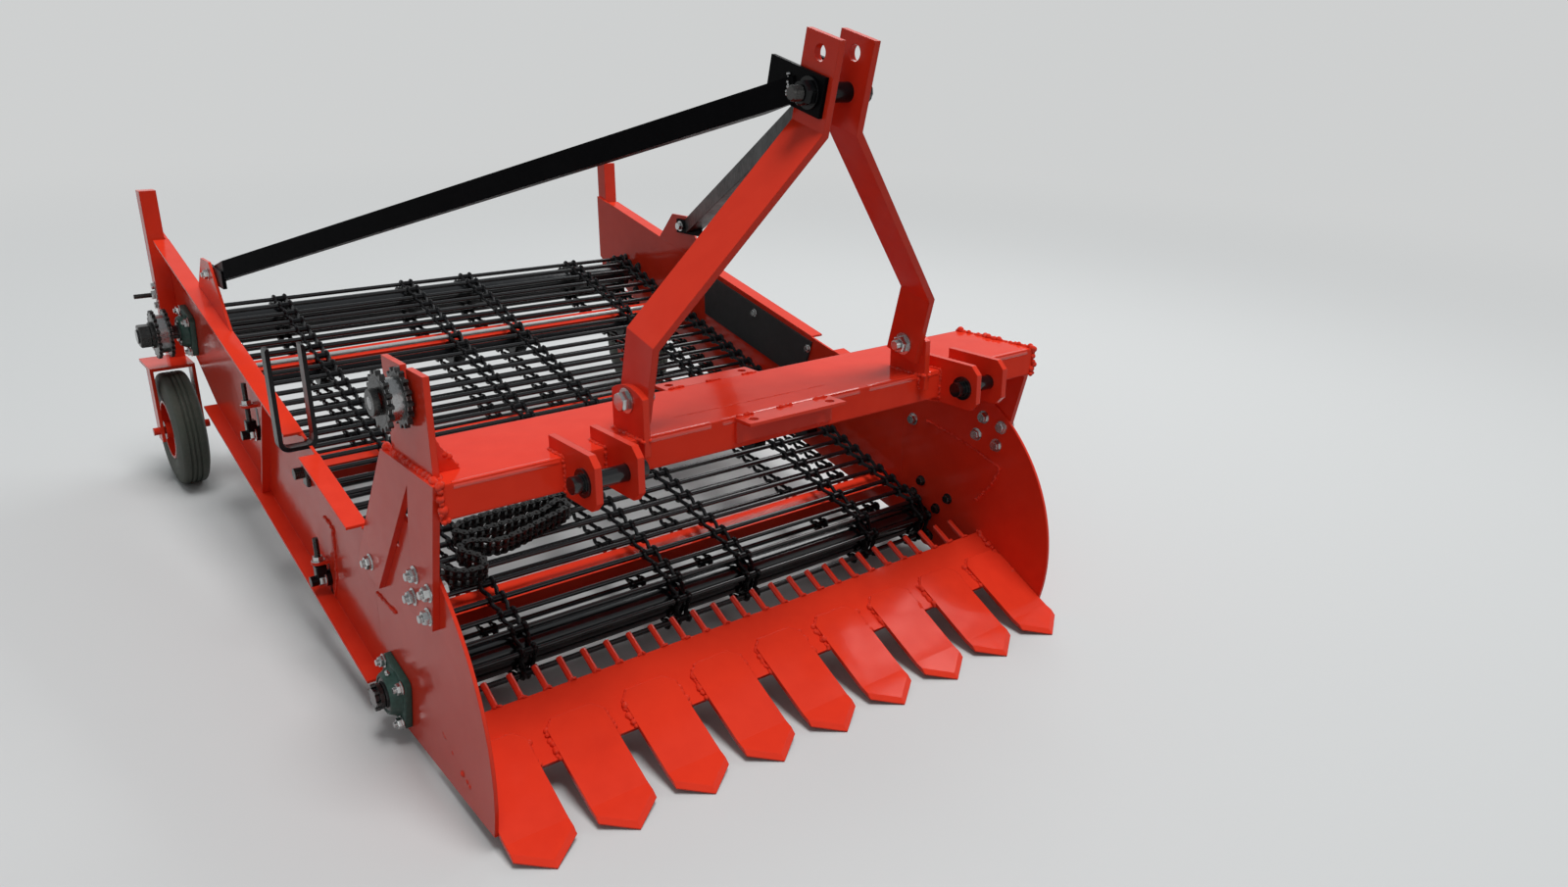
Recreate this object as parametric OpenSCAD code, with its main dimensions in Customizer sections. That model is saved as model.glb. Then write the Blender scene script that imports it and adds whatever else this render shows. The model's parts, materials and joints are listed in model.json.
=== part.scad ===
// Three-point mounted potato digger with a single rod web.
// X runs across the machine, -Y points to the tractor and the shares, +Y to the rear, Z is up.
// Every piece is drawn in the machine's working frame, where the main beam is level: Y is
// measured from the beam's front face and Z from the underside of the share points.
// The whole machine is then tilted back onto its share points and rear wheels, as it parks.

/* [Main beam] */
// Height of the beam's top over the share points
beam_top = 598; // [570:1:660]
// Height of both beam tubes
beam_height = 55; // [50:1:70]
// Depth of the front beam tube
front_tube_depth = 72; // [60:1:90]
// Depth of the rear beam tube
rear_tube_depth = 143; // [120:1:160]
// Wall of both beam tubes
beam_wall = 5; // [4:0.5:8]
// Thickness of the end legs that hang the side plates from the beam
end_plate_t = 11; // [6:1:12]

/* [Gearbox mounts] */
// Offset of the gearbox mounts from the middle
gearbox_x = -25; // [-60:1:60]
// Hole spacing across the machine
gearbox_hole_dx = 170; // [150:1:200]
// Hole radius
gearbox_hole_r = 8.5; // [6:0.5:10]
// Length of the mount angles
gearbox_angle_length = 214; // [200:1:260]
// Leg of the mount angles
gearbox_angle_leg = 45; // [40:1:60]
// Thickness of the mount angles
gearbox_angle_t = 6; // [5:1:8]

/* [Lower hitch] */
// Distance between the two hitch points
hitch_span = 825; // [800:1:840]
// Clear gap between the two ears
hitch_gap = 61; // [55:1:70]
// Thickness of an ear
ear_t = 12; // [10:1:16]
// Reach of the ears in front of the beam
ear_reach = 96; // [90:1:120]
// Height of the hitch pins
hitch_pin_z = 574; // [565:1:580]
// Distance of the hitch pins in front of the beam
hitch_pin_y = 60; // [50:1:64]
// Radius of the hitch pins
hitch_pin_r = 14; // [11:0.5:18]

/* [Mast] */
// Forward lean of the mast in degrees
mast_lean = 15; // [8:0.5:20]
// Clear room between the mast's lugs and the hitch ears
mast_room = 49; // [10:1:60]
// Clear gap between the two legs at the top link
top_link_gap = 58; // [52:1:70]
// Thickness of the legs
mast_t = 12; // [10:1:16]
// Width of the legs
mast_w = 80; // [70:1:100]
// Height of the foot bolts over the share points
foot_bolt_z = 656; // [645:1:665]
// Length from the foot bolt to the lower bend
bend_low_u = 110; // [100:1:150]
// Length from the foot bolt to the upper bend
bend_high_u = 435; // [400:1:470]
// Length from the foot bolt to the top link hole
top_hole_u = 547; // [535:1:620]
// Radius of the top link hole
top_hole_r = 13; // [9:0.5:16]
// Radius of the bolts in the mast
mast_bolt_r = 8; // [6:0.5:10]

/* [Side plates] */
// Distance from the middle to the inside of the side plates
inner_half = 645; // [630:1:740]
// Thickness of the side plates
plate_t = 6; // [4:0.5:10]
// Width of the outward flanges
flange_w = 39; // [30:1:50]
// Thickness of the flanges
flange_t = 5; // [4:0.5:8]
// Slope of the side plates to the rear in degrees
rail_slope = 13.6; // [10:0.2:16]
// Depth of the side plates at right angles to the slope
rail_depth = 300; // [260:1:330]
// Place of the joint between the front shield and the rear side plate
split_y = 375; // [365:1:400]
// Rear end of the side plates
rail_end_y = 1838; // [1800:1:1950]
// Height of the wheel stems over the side plates
stem_rise = 105; // [60:1:150]

/* [Shares] */
// Number of share points
share_count = 9; // [5:2:9]
// Width of a share point
share_w = 109; // [90:1:120]
// Thickness of a share point
share_t = 8; // [6:1:12]
// Slope of the share plate in degrees
share_slope = 28; // [20:0.5:35]
// Slope of the bent share noses in degrees
nose_slope = 19; // [12:0.5:24]
// Thickness of the share plate
share_plate_t = 8; // [6:1:12]
// Length of the share plate along its slope
share_plate_length = 132; // [110:1:140]
// Number of finger bars behind the share plate
finger_count = 26; // [20:1:28]
// Length of the finger bars behind the share plate
finger_length = 54; // [50:1:72]
// Radius of the finger bars
finger_r = 6; // [4:0.5:8]

/* [Web] */
// Radius of the web rods
rod_r = 5.5; // [4:0.5:7]
// Radius of the web's rod line round both rollers
web_r = 52; // [48:1:60]
// Rods in the web's whole loop
rod_count = 66; // [50:1:72]
// Width of a row of rod joints
strip_w = 30; // [20:1:40]
// Thickness of the outer rows of rod joints
strip_t = 12; // [12:1:16]
// Thickness of the inner rows, which lie under the rods
inner_strip_t = 5; // [4:0.5:8]
// Place of the front roller's axis
roller_y = 300; // [295:1:310]
// Height of the front roller's axis
roller_z = 123; // [118:1:135]
// Place of the rear drive shaft's axis
drive_y = 1640; // [1560:1:1660]
// Height of the rear drive shaft's axis
drive_z = 528; // [500:1:540]
// Radius of both shafts
shaft_r = 17.5; // [15:0.5:20]

/* [Rear wheels] */
// Radius of the tyres
tyre_r = 150; // [130:1:170]
// Width of the tyres
tyre_w = 74; // [60:1:76]
// Place of the wheel axles
axle_y = 1720; // [1700:1:1730]
// Height of the wheel axles
axle_z = 257; // [240:1:270]
// Distance from a side plate's outside to the middle of its tyre
wheel_offset = 51; // [50:1:110]
// Radius of the axles
axle_r = 10; // [8:0.5:14]

/* [Drive] */
// Teeth of the loose duplex sprocket
sprocket_teeth = 16; // [12:1:20]
// Outer radius of the loose duplex sprocket
sprocket_r = 46; // [40:1:60]
// Teeth of the drive shaft's duplex sprocket
drive_sprocket_teeth = 22; // [18:1:26]
// Outer radius of the drive shaft's duplex sprocket
drive_sprocket_r = 61; // [55:1:70]
// Width of one row of teeth
row_w = 8; // [6:0.5:10]
// Distance between the two rows of teeth
row_gap = 20; // [16:1:24]

/* [Struts] */
// Side of the square strut tubes
strut_w = 40; // [30:1:50]
// Place of the lower strut bolts
strut_foot_y = 1330; // [1250:1:1400]
// Height of the lower strut bolts over the side plates
strut_foot_rise = 78; // [60:1:100]

/* [Hidden] */

paint = "orangered";
black = [0.08, 0.08, 0.09];
casting = [0.1, 0.22, 0.16];
zinc = [0.75, 0.76, 0.78];
steel = [0.28, 0.28, 0.3];
rubber = [0.12, 0.12, 0.12];

seat = 0.3;       // clearance of a seated pin or shaft
clear = 8;        // room round what turns
overcut = 1;      // how far a cut runs past its stock

outer_half = inner_half + plate_t;
flange_half = outer_half + flange_w;
track_half = outer_half + wheel_offset;
lug_t = 12;
mast_foot_x = hitch_span / 2 - hitch_gap / 2 - ear_t - lug_t - mast_room;
beam_length = 2 * outer_half;
beam_depth = front_tube_depth + rear_tube_depth;
beam_bottom = beam_top - beam_height;

// Top line of the side plates, and its lower line, as heights over the share points
rail_ref_y = 800;
rail_ref_z = 508;
rail_drop = rail_depth / cos(rail_slope);
function rail_top(y) = rail_ref_z + (y - rail_ref_y) * tan(rail_slope);
function rail_bottom(y) = rail_top(y) - rail_drop;

// Line of the share plate's top, which passes through the shields' lower front corners
shield_low_y = -70;
shield_low_z = 36;
share_reach = 23;    // flat stretch of the points in front of those corners
nose_length = 70;
plate_front_u = 81;  // front edge of the share plate, up the slope from the corners
plate_rear_u = plate_front_u + share_plate_length;

// Parked stance: the line from the share points to the underside of the tyres is the floor
tip_y = shield_low_y - share_reach * cos(share_slope) - nose_length * cos(nose_slope);
tip_z = shield_low_z - share_reach * sin(share_slope) - nose_length * sin(nose_slope);
wheel_dy = axle_y - tip_y;
wheel_dz = axle_z - tip_z;
park_tilt = atan2(wheel_dz, wheel_dy) - asin(tyre_r / norm([wheel_dy, wheel_dz]));
function parked_y(y, z) = (y - tip_y) * cos(park_tilt) + (z - tip_z) * sin(park_tilt);

// Sideways room at the wheels, and the drive shaft's two ends
fork_t = 8;
fork_gap = tyre_w + 2 * clear;
axle_stub = 14;
axle_out = track_half + fork_gap / 2 + fork_t + axle_stub;
drive_end_left = outer_half + 125;
drive_end_right = outer_half + 45;

// Middle of the parked machine's outer box
mid_x = (max(axle_out, drive_end_right) - max(axle_out, drive_end_left)) / 2;
front_y = -share_t * sin(nose_slope - park_tilt);
rear_y = max(
    parked_y(rail_end_y, rail_top(rail_end_y) + stem_rise),
    parked_y(axle_y, axle_z) + tyre_r
);
mid_y = (front_y + rear_y) / 2;

// Places a child of the working frame in the parked frame
module parked() {
    translate([-mid_x, -mid_y, 0])
    rotate([-park_tilt, 0, 0])
    translate([0, -tip_y, -tip_z])
    children();
}

// Plate with its outline in the Y-Z plane, from x0 outwards along +X
module side_sheet(x0, thickness) {
    translate([x0, 0, 0])
    rotate([90, 0, 90])
    linear_extrude(thickness)
    children();
}

// Mirrors the right-hand form to the left
module on_left() {
    mirror([1, 0, 0]) children();
}

// Round bar along X between two places
module bar_x(x0, x1, y, z, r) {
    translate([x0, y, z])
    rotate([0, 90, 0])
    cylinder(r = r, h = x1 - x0, $fn = 48);
}

// Rectangular tube along X, open at both ends
module tube_x(length, depth, height, wall) {
    translate([-length / 2, 0, 0])
    difference() {
        cube([length, depth, height]);
        translate([-overcut, wall, wall])
        cube([length + 2 * overcut, depth - 2 * wall, height - 2 * wall]);
    }
}

module main_beam() {
    color(paint)
    parked() {
        translate([0, 0, beam_bottom])
        tube_x(beam_length, front_tube_depth, beam_height, beam_wall);
        translate([0, front_tube_depth, beam_bottom])
        tube_x(beam_length, rear_tube_depth, beam_height, beam_wall);
    }
}

// End plate: two flat legs under the beam's end that spread over the side plate and the shield
front_leg_top = [0, 106];
front_leg_foot = [70, 164];
front_leg_foot_z = 338;
leg_split_y = 108;
leg_split_z = 570;
rear_leg_front = [315, 316];
rear_leg_rear = [420, 334];
module end_plate() {
    side_sheet(outer_half, end_plate_t) {
        polygon([
            [front_leg_top[0], beam_top], [leg_split_y, beam_top], [leg_split_y, leg_split_z],
            [front_leg_foot[1], front_leg_foot_z], [front_leg_foot[0], front_leg_foot_z]
        ]);
        polygon([
            [leg_split_y, beam_top], [beam_depth, beam_top],
            rear_leg_rear, rear_leg_front, [leg_split_y, leg_split_z]
        ]);
    }
}

module end_plate_left() {
    color(paint)
    parked()
    on_left()
    end_plate();
}

module end_plate_right() {
    color(paint)
    parked()
    end_plate();
}

// Angle with two holes in its upper leg, its back against the beam's face
module gearbox_angle() {
    translate([-gearbox_angle_length / 2, 0, 0])
    difference() {
        union() {
            translate([0, 0, -gearbox_angle_t])
            cube([gearbox_angle_length, gearbox_angle_leg, gearbox_angle_t]);
            translate([0, 0, -gearbox_angle_leg])
            cube([gearbox_angle_length, gearbox_angle_t, gearbox_angle_leg]);
        }
        for (side = [-1, 1])
            translate([
                gearbox_angle_length / 2 + side * gearbox_hole_dx / 2,
                gearbox_angle_leg / 2 + gearbox_angle_t / 2,
                -gearbox_angle_t - overcut
            ])
            cylinder(r = gearbox_hole_r, h = gearbox_angle_t + 2 * overcut, $fn = 32);
    }
}

module gearbox_mounts() {
    color(paint)
    parked()
    translate([gearbox_x, 0, beam_top]) {
        mirror([0, 1, 0]) gearbox_angle();
        translate([0, beam_depth, 0]) gearbox_angle();
    }
}

// Centre and radius of the shield's round front edge
shield_centre_y = 283;
shield_centre_z = 140;
shield_r = 368;
shield_top_z = beam_bottom - 10;
shield_shoulder_z = rail_top(beam_depth) + 60;
shield_front_y = shield_centre_y - shield_r - overcut;
shield_heel_y = 290;
shield_heel_rise = 12;
bearing_bore_r = shaft_r + 8;

module side_shield() {
    side_sheet(inner_half, plate_t)
    difference() {
        intersection() {
            translate([shield_centre_y, shield_centre_z])
            circle(r = shield_r, $fn = 128);
            polygon([
                [shield_front_y, shield_low_z],
                [shield_heel_y, shield_low_z + shield_heel_rise],
                [split_y, rail_bottom(split_y)],
                [split_y, rail_top(split_y)],
                [beam_depth, shield_shoulder_z],
                [beam_depth, shield_top_z],
                [shield_front_y, shield_top_z]
            ]);
        }
        translate([roller_y, roller_z])
        circle(r = bearing_bore_r, $fn = 48);
    }
}

module side_shield_left() {
    color(paint)
    parked()
    on_left()
    side_shield();
}

module side_shield_right() {
    color(paint)
    parked()
    side_shield();
}

// Strip of the flange's thickness along the side plate's upper or lower edge
module edge_strip(y0, y1, upper) {
    sink = upper ? rail_top(y0) - flange_t : rail_bottom(y0);
    climb = rail_top(y1) - rail_top(y0);
    polygon([
        [y0, sink], [y1, sink + climb],
        [y1, sink + climb + flange_t], [y0, sink + flange_t]
    ]);
}

flange_front_y = 392;
flange_gap_front = 640;
flange_gap_rear = 728;
flange_end_y = 1770;
lower_flange_end_y = 1480;
rear_lip_z = 560;
// Strips stand out this far from the side plates' outer faces
rail_flange_w = 31;
rib_foot_y = 1057;
rib_head_y = 911;
rib_w = 18;

// Bar bent to an open U, seated in a notch of the left side plate between its upper flanges
bracket_y = 690;
bracket_w = 28;
bracket_t = 8;
bracket_inner_x = inner_half - 13;
bracket_outer_x = outer_half + 53;
bracket_rise = 203;
bracket_seat_z = rail_top(bracket_y - bracket_w / 2) - bracket_t;

// Side plate drawn on the right; the left one is notched for the U-shaped bar
module side_rail(notched) {
    side_sheet(inner_half, plate_t)
    difference() {
        polygon([
            [split_y, rail_bottom(split_y) + flange_t / 2],
            [lower_flange_end_y, rail_bottom(lower_flange_end_y) + flange_t / 2],
            [rail_end_y, rear_lip_z],
            [rail_end_y, rail_top(rail_end_y) - flange_t / 2],
            [split_y, rail_top(split_y) - flange_t / 2]
        ]);
        translate([drive_y, drive_z])
        circle(r = bearing_bore_r, $fn = 48);
        if (notched)
            translate([bracket_y - bracket_w / 2 - seat, bracket_seat_z])
            square([bracket_w + 2 * seat, rail_drop]);
    }
    side_sheet(inner_half, plate_t + rail_flange_w) {
        edge_strip(flange_front_y, flange_gap_front, true);
        edge_strip(flange_gap_rear, flange_end_y, true);
        edge_strip(flange_front_y, lower_flange_end_y, false);
    }
    side_sheet(outer_half - plate_t / 2, plate_t / 2 + rib_w)
    polygon([
        [rib_foot_y, rail_bottom(rib_foot_y) + flange_t / 2],
        [rib_foot_y + plate_t, rail_bottom(rib_foot_y + plate_t) + flange_t / 2],
        [rib_head_y + plate_t, rail_top(rib_head_y + plate_t) - flange_t / 2],
        [rib_head_y, rail_top(rib_head_y) - flange_t / 2]
    ]);
}

module side_rail_left() {
    color(paint)
    parked()
    on_left()
    side_rail(true);
}

module side_rail_right() {
    color(paint)
    parked()
    side_rail(false);
}

// Frame along the share plate's slope: +Y runs up the plate, origin at the shields' front corner
module on_share_slope() {
    translate([0, shield_low_y, shield_low_z])
    rotate([share_slope, 0, 0])
    children();
}

module share_plate() {
    color(paint)
    parked()
    on_share_slope()
    translate([-inner_half, plate_front_u, -share_plate_t])
    cube([2 * inner_half, share_plate_length, share_plate_t]);
}

share_lap = 73;      // how far a share point lies on the plate
share_back = plate_front_u + share_lap;
share_pitch = (2 * (inner_half - seat) - share_w) / (share_count - 1);
function share_x(i) = (i - (share_count - 1) / 2) * share_pitch;

// One share point: a flat blade on the plate with a bent, pointed nose. The blade's profile is
// extruded across its width and cut to the outline that it has when seen from above.
nose_side = 29;
share_corner = 18;
nose_bend = share_slope - nose_slope;
nose_drop = nose_length * sin(nose_bend);
nose_run = nose_length * cos(nose_bend);
bevel_w = 10;        // width and depth of the bevel along a nose's two front edges
bevel_depth = 5;
nose_edge = [share_w / 2, nose_length - nose_side];
module share_profile() {
    bend = tan(nose_bend / 2) * share_t;
    polygon([
        [share_back, 0], [-share_reach, 0],
        [-share_reach - nose_run, nose_drop],
        [-share_reach - nose_run + share_t * sin(nose_bend), nose_drop + share_t * cos(nose_bend)],
        [-share_reach + bend, share_t], [share_back, share_t]
    ]);
}

// What the bevel takes off one front edge of a nose, from its tip to its shoulder and past both
module nose_bevel() {
    translate([0, -share_reach, 0])
    rotate([-nose_bend, 0, 0])
    translate([0, -nose_length, share_t])
    rotate([0, 0, atan2(nose_edge[1], nose_edge[0])])
    translate([-bevel_w, bevel_w, 0])
    rotate([atan2(bevel_depth, bevel_w), 0, 0])
    translate([0, -3 * bevel_w, 0])
    cube([norm(nose_edge) + 2 * bevel_w, 4 * bevel_w, 2 * share_t]);
}

module share_point() {
    shoulder = -share_reach - nose_side;
    tip = -share_reach - nose_run;
    difference() {
        share_blank(shoulder, tip);
        nose_bevel();
        mirror([1, 0, 0]) nose_bevel();
    }
}

module share_blank(shoulder, tip) {
    intersection() {
        side_sheet(-share_w / 2, share_w)
        share_profile();
        translate([0, 0, -share_t])
        linear_extrude(3 * share_t + nose_drop)
        polygon([
            [share_w / 2, shoulder], [0, tip], [-share_w / 2, shoulder],
            [-share_w / 2, share_back - share_corner], [share_corner - share_w / 2, share_back],
            [share_w / 2 - share_corner, share_back], [share_w / 2, share_back - share_corner]
        ]);
    }
}

module share_points() {
    color(paint)
    parked()
    on_share_slope()
    for (i = [0 : share_count - 1])
        translate([share_x(i), 0, 0])
        share_point();
}

finger_margin = 40;
module finger_bars() {
    pitch = (2 * inner_half - finger_margin) / finger_count;
    color(paint)
    parked()
    on_share_slope()
    for (i = [0 : finger_count - 1])
        translate([(i - (finger_count - 1) / 2) * pitch, plate_rear_u, -share_plate_t / 2])
        rotate([-90, 0, 0])
        cylinder(r = finger_r, h = finger_length, $fn = 24);
}

// Web loop: two half circles joined by straight runs, drawn in its own plane
web_dy = drive_y - roller_y;
web_dz = drive_z - roller_z;
web_run = norm([web_dy, web_dz]);
web_slope = atan2(web_dz, web_dy);
web_side_gap = 28;
web_half = inner_half - web_side_gap;
inner_strip_r = web_r - rod_r - seat;
web_inner_r = inner_strip_r - inner_strip_t - seat;

module loop_outline(r) {
    circle(r = r, $fn = 32);
    translate([web_run, 0]) circle(r = r, $fn = 32);
    translate([0, -r]) square([web_run, 2 * r]);
}

// Endless band of the web's width of joints, between two radii, its middle at x
module loop_band(x, outer_r, inner_r) {
    translate([0, 0, x - strip_w / 2])
    linear_extrude(strip_w)
    difference() {
        loop_outline(outer_r);
        loop_outline(inner_r);
    }
}

// Place and height of the point at distance s along the loop, in the loop's plane
web_length = 2 * web_run + 2 * PI * web_r;
half_turn = PI * web_r;
function loop_point(s) =
    s < web_run ? [s, web_r]
    : s < web_run + half_turn ? [
        web_run + web_r * sin((s - web_run) / half_turn * 180),
        web_r * cos((s - web_run) / half_turn * 180)
    ]
    : s < 2 * web_run + half_turn ? [2 * web_run + half_turn - s, -web_r]
    : [
        -web_r * sin((s - 2 * web_run - half_turn) / half_turn * 180),
        -web_r * cos((s - 2 * web_run - half_turn) / half_turn * 180)
    ];

module on_web_slope() {
    translate([0, roller_y, roller_z])
    rotate([web_slope, 0, 0])
    children();
}

strip_mid_inset = 187;
strip_near = 88;
edge_strip_x = web_half - strip_w / 2;
inner_strip_x = [strip_near, web_half - strip_mid_inset];
strip_x = [strip_near, web_half - strip_mid_inset, edge_strip_x];

// Six-sided rods from edge to edge, their ends held in the outer rows of joints
module web() {
    color(black)
    parked()
    on_web_slope()
    rotate([90, 0, 90]) {
        for (side = [-1, 1])
            loop_band(side * edge_strip_x, web_r + strip_t / 2, web_r - strip_t / 2);
        for (i = [0 : rod_count - 1])
            let (p = loop_point(i * web_length / rod_count))
            translate([p[0], p[1], -edge_strip_x])
            rotate(30)
            cylinder(r = rod_r, h = 2 * edge_strip_x, $fn = 6);
    }
}

module web_joints() {
    color(black)
    parked()
    on_web_slope()
    rotate([90, 0, 90])
    for (x = inner_strip_x)
        for (side = [-1, 1])
            loop_band(side * x, inner_strip_r, inner_strip_r - inner_strip_t);
}

// Roller inside the web's turn: a tube with a disc under each strip
roller_tube_r = 34;
disc_w = 16;
front_shaft_half = outer_half + 50;
module web_roller(half_length) {
    bar_x(-half_length, half_length, 0, 0, roller_tube_r);
    for (x = strip_x)
        for (side = [-1, 1])
            bar_x(side * x - disc_w / 2, side * x + disc_w / 2, 0, 0, web_inner_r);
}

module front_roller() {
    color(black)
    parked()
    translate([0, roller_y, roller_z]) {
        bar_x(-front_shaft_half, front_shaft_half, 0, 0, shaft_r);
        web_roller(web_half);
    }
}

module drive_shaft() {
    color(black)
    parked()
    translate([0, drive_y, drive_z]) {
        bar_x(-drive_end_left, drive_end_right, 0, 0, shaft_r);
        web_roller(web_half);
    }
}

// Rollers under the web's upper run: two rows carried by the cross members
support_u = [0.3, 0.77];
support_r = 30;
support_w = 34;
support_shaft_r = 10;
module support_rollers() {
    color(black)
    parked()
    on_web_slope()
    for (u = support_u)
        translate([0, u * web_run, web_inner_r - support_r]) {
            bar_x(-inner_half, inner_half, 0, 0, support_shaft_r);
            for (x = strip_x)
                for (side = [-1, 1])
                    bar_x(side * x - support_w / 2, side * x + support_w / 2, 0, 0, support_r);
        }
}

// Bars across the machine between the two runs of the web
member_u = [0.1, 0.5, 0.816];
member_depth = 50;
member_height = 40;
module cross_members() {
    color(paint)
    parked()
    on_web_slope()
    for (u = member_u)
        translate([-inner_half, u * web_run - member_depth / 2, -member_height / 2])
        cube([2 * inner_half, member_depth, member_height]);
}

// Frame of the mast: +Z runs up the lean, origin on the axis of the foot bolts
foot_bolt_y = 33;
module on_mast() {
    translate([0, foot_bolt_y, foot_bolt_z])
    rotate([mast_lean, 0, 0])
    children();
}

mast_foot_drop = 26;
mast_top_rise = 28;
top_half = top_link_gap / 2;
spacer_u = top_hole_u - 60;

// Flat bar bent twice, its outline in the X-Z plane of the mast's frame
module mast_leg() {
    on_mast()
    difference() {
        translate([0, mast_w / 2, 0])
        rotate([90, 0, 0])
        linear_extrude(mast_w)
        polygon([
            [mast_foot_x - mast_t, -mast_foot_drop],
            [mast_foot_x, -mast_foot_drop],
            [mast_foot_x, bend_low_u],
            [top_half + mast_t, bend_high_u],
            [top_half + mast_t, top_hole_u + mast_top_rise],
            [top_half, top_hole_u + mast_top_rise],
            [top_half, bend_high_u - mast_t / 2],
            [mast_foot_x - mast_t, bend_low_u - mast_t / 2]
        ]);
        bar_x(0, mast_foot_x + overcut, 0, 0, mast_bolt_r + seat);
        bar_x(0, mast_foot_x, 0, top_hole_u, top_hole_r);
        bar_x(0, mast_foot_x, 0, spacer_u, mast_bolt_r + seat);
    }
}

module mast_leg_left() {
    color(paint)
    parked()
    on_left()
    mast_leg();
}

module mast_leg_right() {
    color(paint)
    parked()
    mast_leg();
}

lug_w = 96;
lug_rise = 83;
lug_front = 16;
lug_lap = 27;
lug_round_r = 91;
module mast_lugs() {
    color(paint)
    parked()
    for (side = [-1, 1])
        translate([side < 0 ? -mast_foot_x - lug_t : mast_foot_x, 0, 0])
        side_sheet(0, lug_t)
        difference() {
            union() {
                intersection() {
                    translate([-lug_front, beam_top])
                    square([lug_w, lug_rise]);
                    translate([lug_w / 2 - lug_front, beam_top + lug_rise - lug_round_r])
                    circle(r = lug_round_r, $fn = 96);
                }
                translate([-lug_front, beam_top - lug_lap])
                square([lug_front, lug_lap + overcut]);
            }
            translate([foot_bolt_y, foot_bolt_z])
            circle(r = mast_bolt_r + seat, $fn = 48);
        }
}

spacer_r = 16;
strut_plate_t = 8;
head_t = 13;
module mast_spacer() {
    reach = top_half + mast_t + strut_plate_t;
    color(steel)
    parked()
    on_mast() {
        bar_x(-top_half, top_half, 0, spacer_u, spacer_r);
        bar_x(-reach - head_t, reach + head_t, 0, spacer_u, mast_bolt_r);
        for (side = [-1, 1])
            translate([side < 0 ? -reach - head_t : reach, 0, spacer_u])
            rotate([0, 90, 0])
            cylinder(r = 15, h = head_t, $fn = 6);
    }
}

// Upper strut bolt in the working frame
spacer_y = foot_bolt_y - spacer_u * sin(mast_lean);
spacer_z = foot_bolt_z + spacer_u * cos(mast_lean);
strut_foot_z = rail_top(strut_foot_y) + strut_foot_rise;
strut_plate_reach = 105;
strut_plate_half = 31;

// Square strut tube with a flat plate welded to each end, the upper one square to the mast
module strut() {
    head_x = top_half + mast_t;
    foot_x = inner_half - strut_plate_t;
    head = [head_x + strut_plate_t, spacer_y + 75, spacer_z - 5];
    foot = [foot_x, strut_foot_y - 74, strut_foot_z + 14];
    along = foot - head;
    length = norm(along);
    swing = atan2(along[0], along[1]);
    dip = asin(-along[2] / length);
    translate([0, spacer_y, spacer_z])
    rotate([mast_lean, 0, 0])
    side_sheet(head_x, strut_plate_t)
    difference() {
        translate([-strut_plate_half, -strut_plate_half])
        square([strut_plate_half + strut_plate_reach, 2 * strut_plate_half]);
        circle(r = mast_bolt_r + seat, $fn = 48);
    }
    difference() {
        side_sheet(foot_x, strut_plate_t)
        translate([strut_foot_y - strut_plate_reach, strut_foot_z - strut_w / 2])
        square([strut_plate_reach + strut_w / 2, strut_w]);
        bar_x(foot_x - overcut, inner_half + overcut, strut_foot_y, strut_foot_z, mast_bolt_r + seat);
    }
    intersection() {
        translate(head)
        rotate([0, 0, -swing])
        rotate([-dip, 0, 0])
        translate([-strut_w / 2, -strut_w, -strut_w / 2])
        cube([strut_w, length + 2 * strut_w, strut_w]);
        translate([head_x + strut_plate_t / 2, spacer_y - strut_plate_half, 0])
        cube([foot_x - head_x, 2 * strut_foot_y, 2 * spacer_z]);
    }
}

module strut_left() {
    color(black)
    parked()
    on_left()
    strut();
}

module strut_right() {
    color(black)
    parked()
    strut();
}

tab_half = 130;
module strut_tabs() {
    color(paint)
    parked()
    for (side = [-1, 1])
        difference() {
            side_sheet(side < 0 ? -outer_half : inner_half, plate_t)
            polygon([
                [strut_foot_y - tab_half, rail_top(strut_foot_y - tab_half)],
                [strut_foot_y + tab_half, rail_top(strut_foot_y + tab_half)],
                [strut_foot_y + 55, strut_foot_z + 30],
                [strut_foot_y - 20, strut_foot_z + 30]
            ]);
            bar_x(
                side < 0 ? -outer_half - overcut : inner_half - overcut,
                side < 0 ? -inner_half + overcut : outer_half + overcut,
                strut_foot_y, strut_foot_z, mast_bolt_r + seat
            );
        }
}

// Ear of a lower hitch clevis, notched over the beam's front top edge
ear_over = 24;
ear_under = 10;
ear_back = 48;
ear_corner = 16;
module hitch_ear() {
    side_sheet(-ear_t / 2, ear_t)
    difference() {
        polygon([
            [ear_back, beam_top], [ear_back, beam_top + ear_over],
            [ear_corner - ear_reach, beam_top + ear_over],
            [-ear_reach, beam_top + ear_over - ear_corner],
            [-ear_reach, beam_bottom - ear_under + ear_corner],
            [ear_corner - ear_reach, beam_bottom - ear_under],
            [0, beam_bottom - ear_under],
            [0, beam_top]
        ]);
        translate([-hitch_pin_y, hitch_pin_z])
        circle(r = hitch_pin_r + seat, $fn = 48);
    }
}

ear_x = [
    for (side = [-1, 1])
        for (ear = [-1, 1])
            side * hitch_span / 2 + ear * (hitch_gap + ear_t) / 2
];

module hitch_clevises() {
    color(paint)
    parked()
    for (x = ear_x)
        translate([x, 0, 0])
        hitch_ear();
}

washer_t = 4;
pin_stub = 22;
module hitch_pins() {
    color(zinc)
    parked()
    for (side = [-1, 1])
        translate([side * hitch_span / 2, -hitch_pin_y, hitch_pin_z]) {
            half = hitch_gap / 2 + ear_t;
            bar_x(-half - pin_stub, half + pin_stub, 0, 0, hitch_pin_r);
            bar_x(half, half + washer_t, 0, 0, hitch_pin_r + 9);
            bar_x(-half - washer_t, -half, 0, 0, hitch_pin_r + 9);
        }
}

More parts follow.
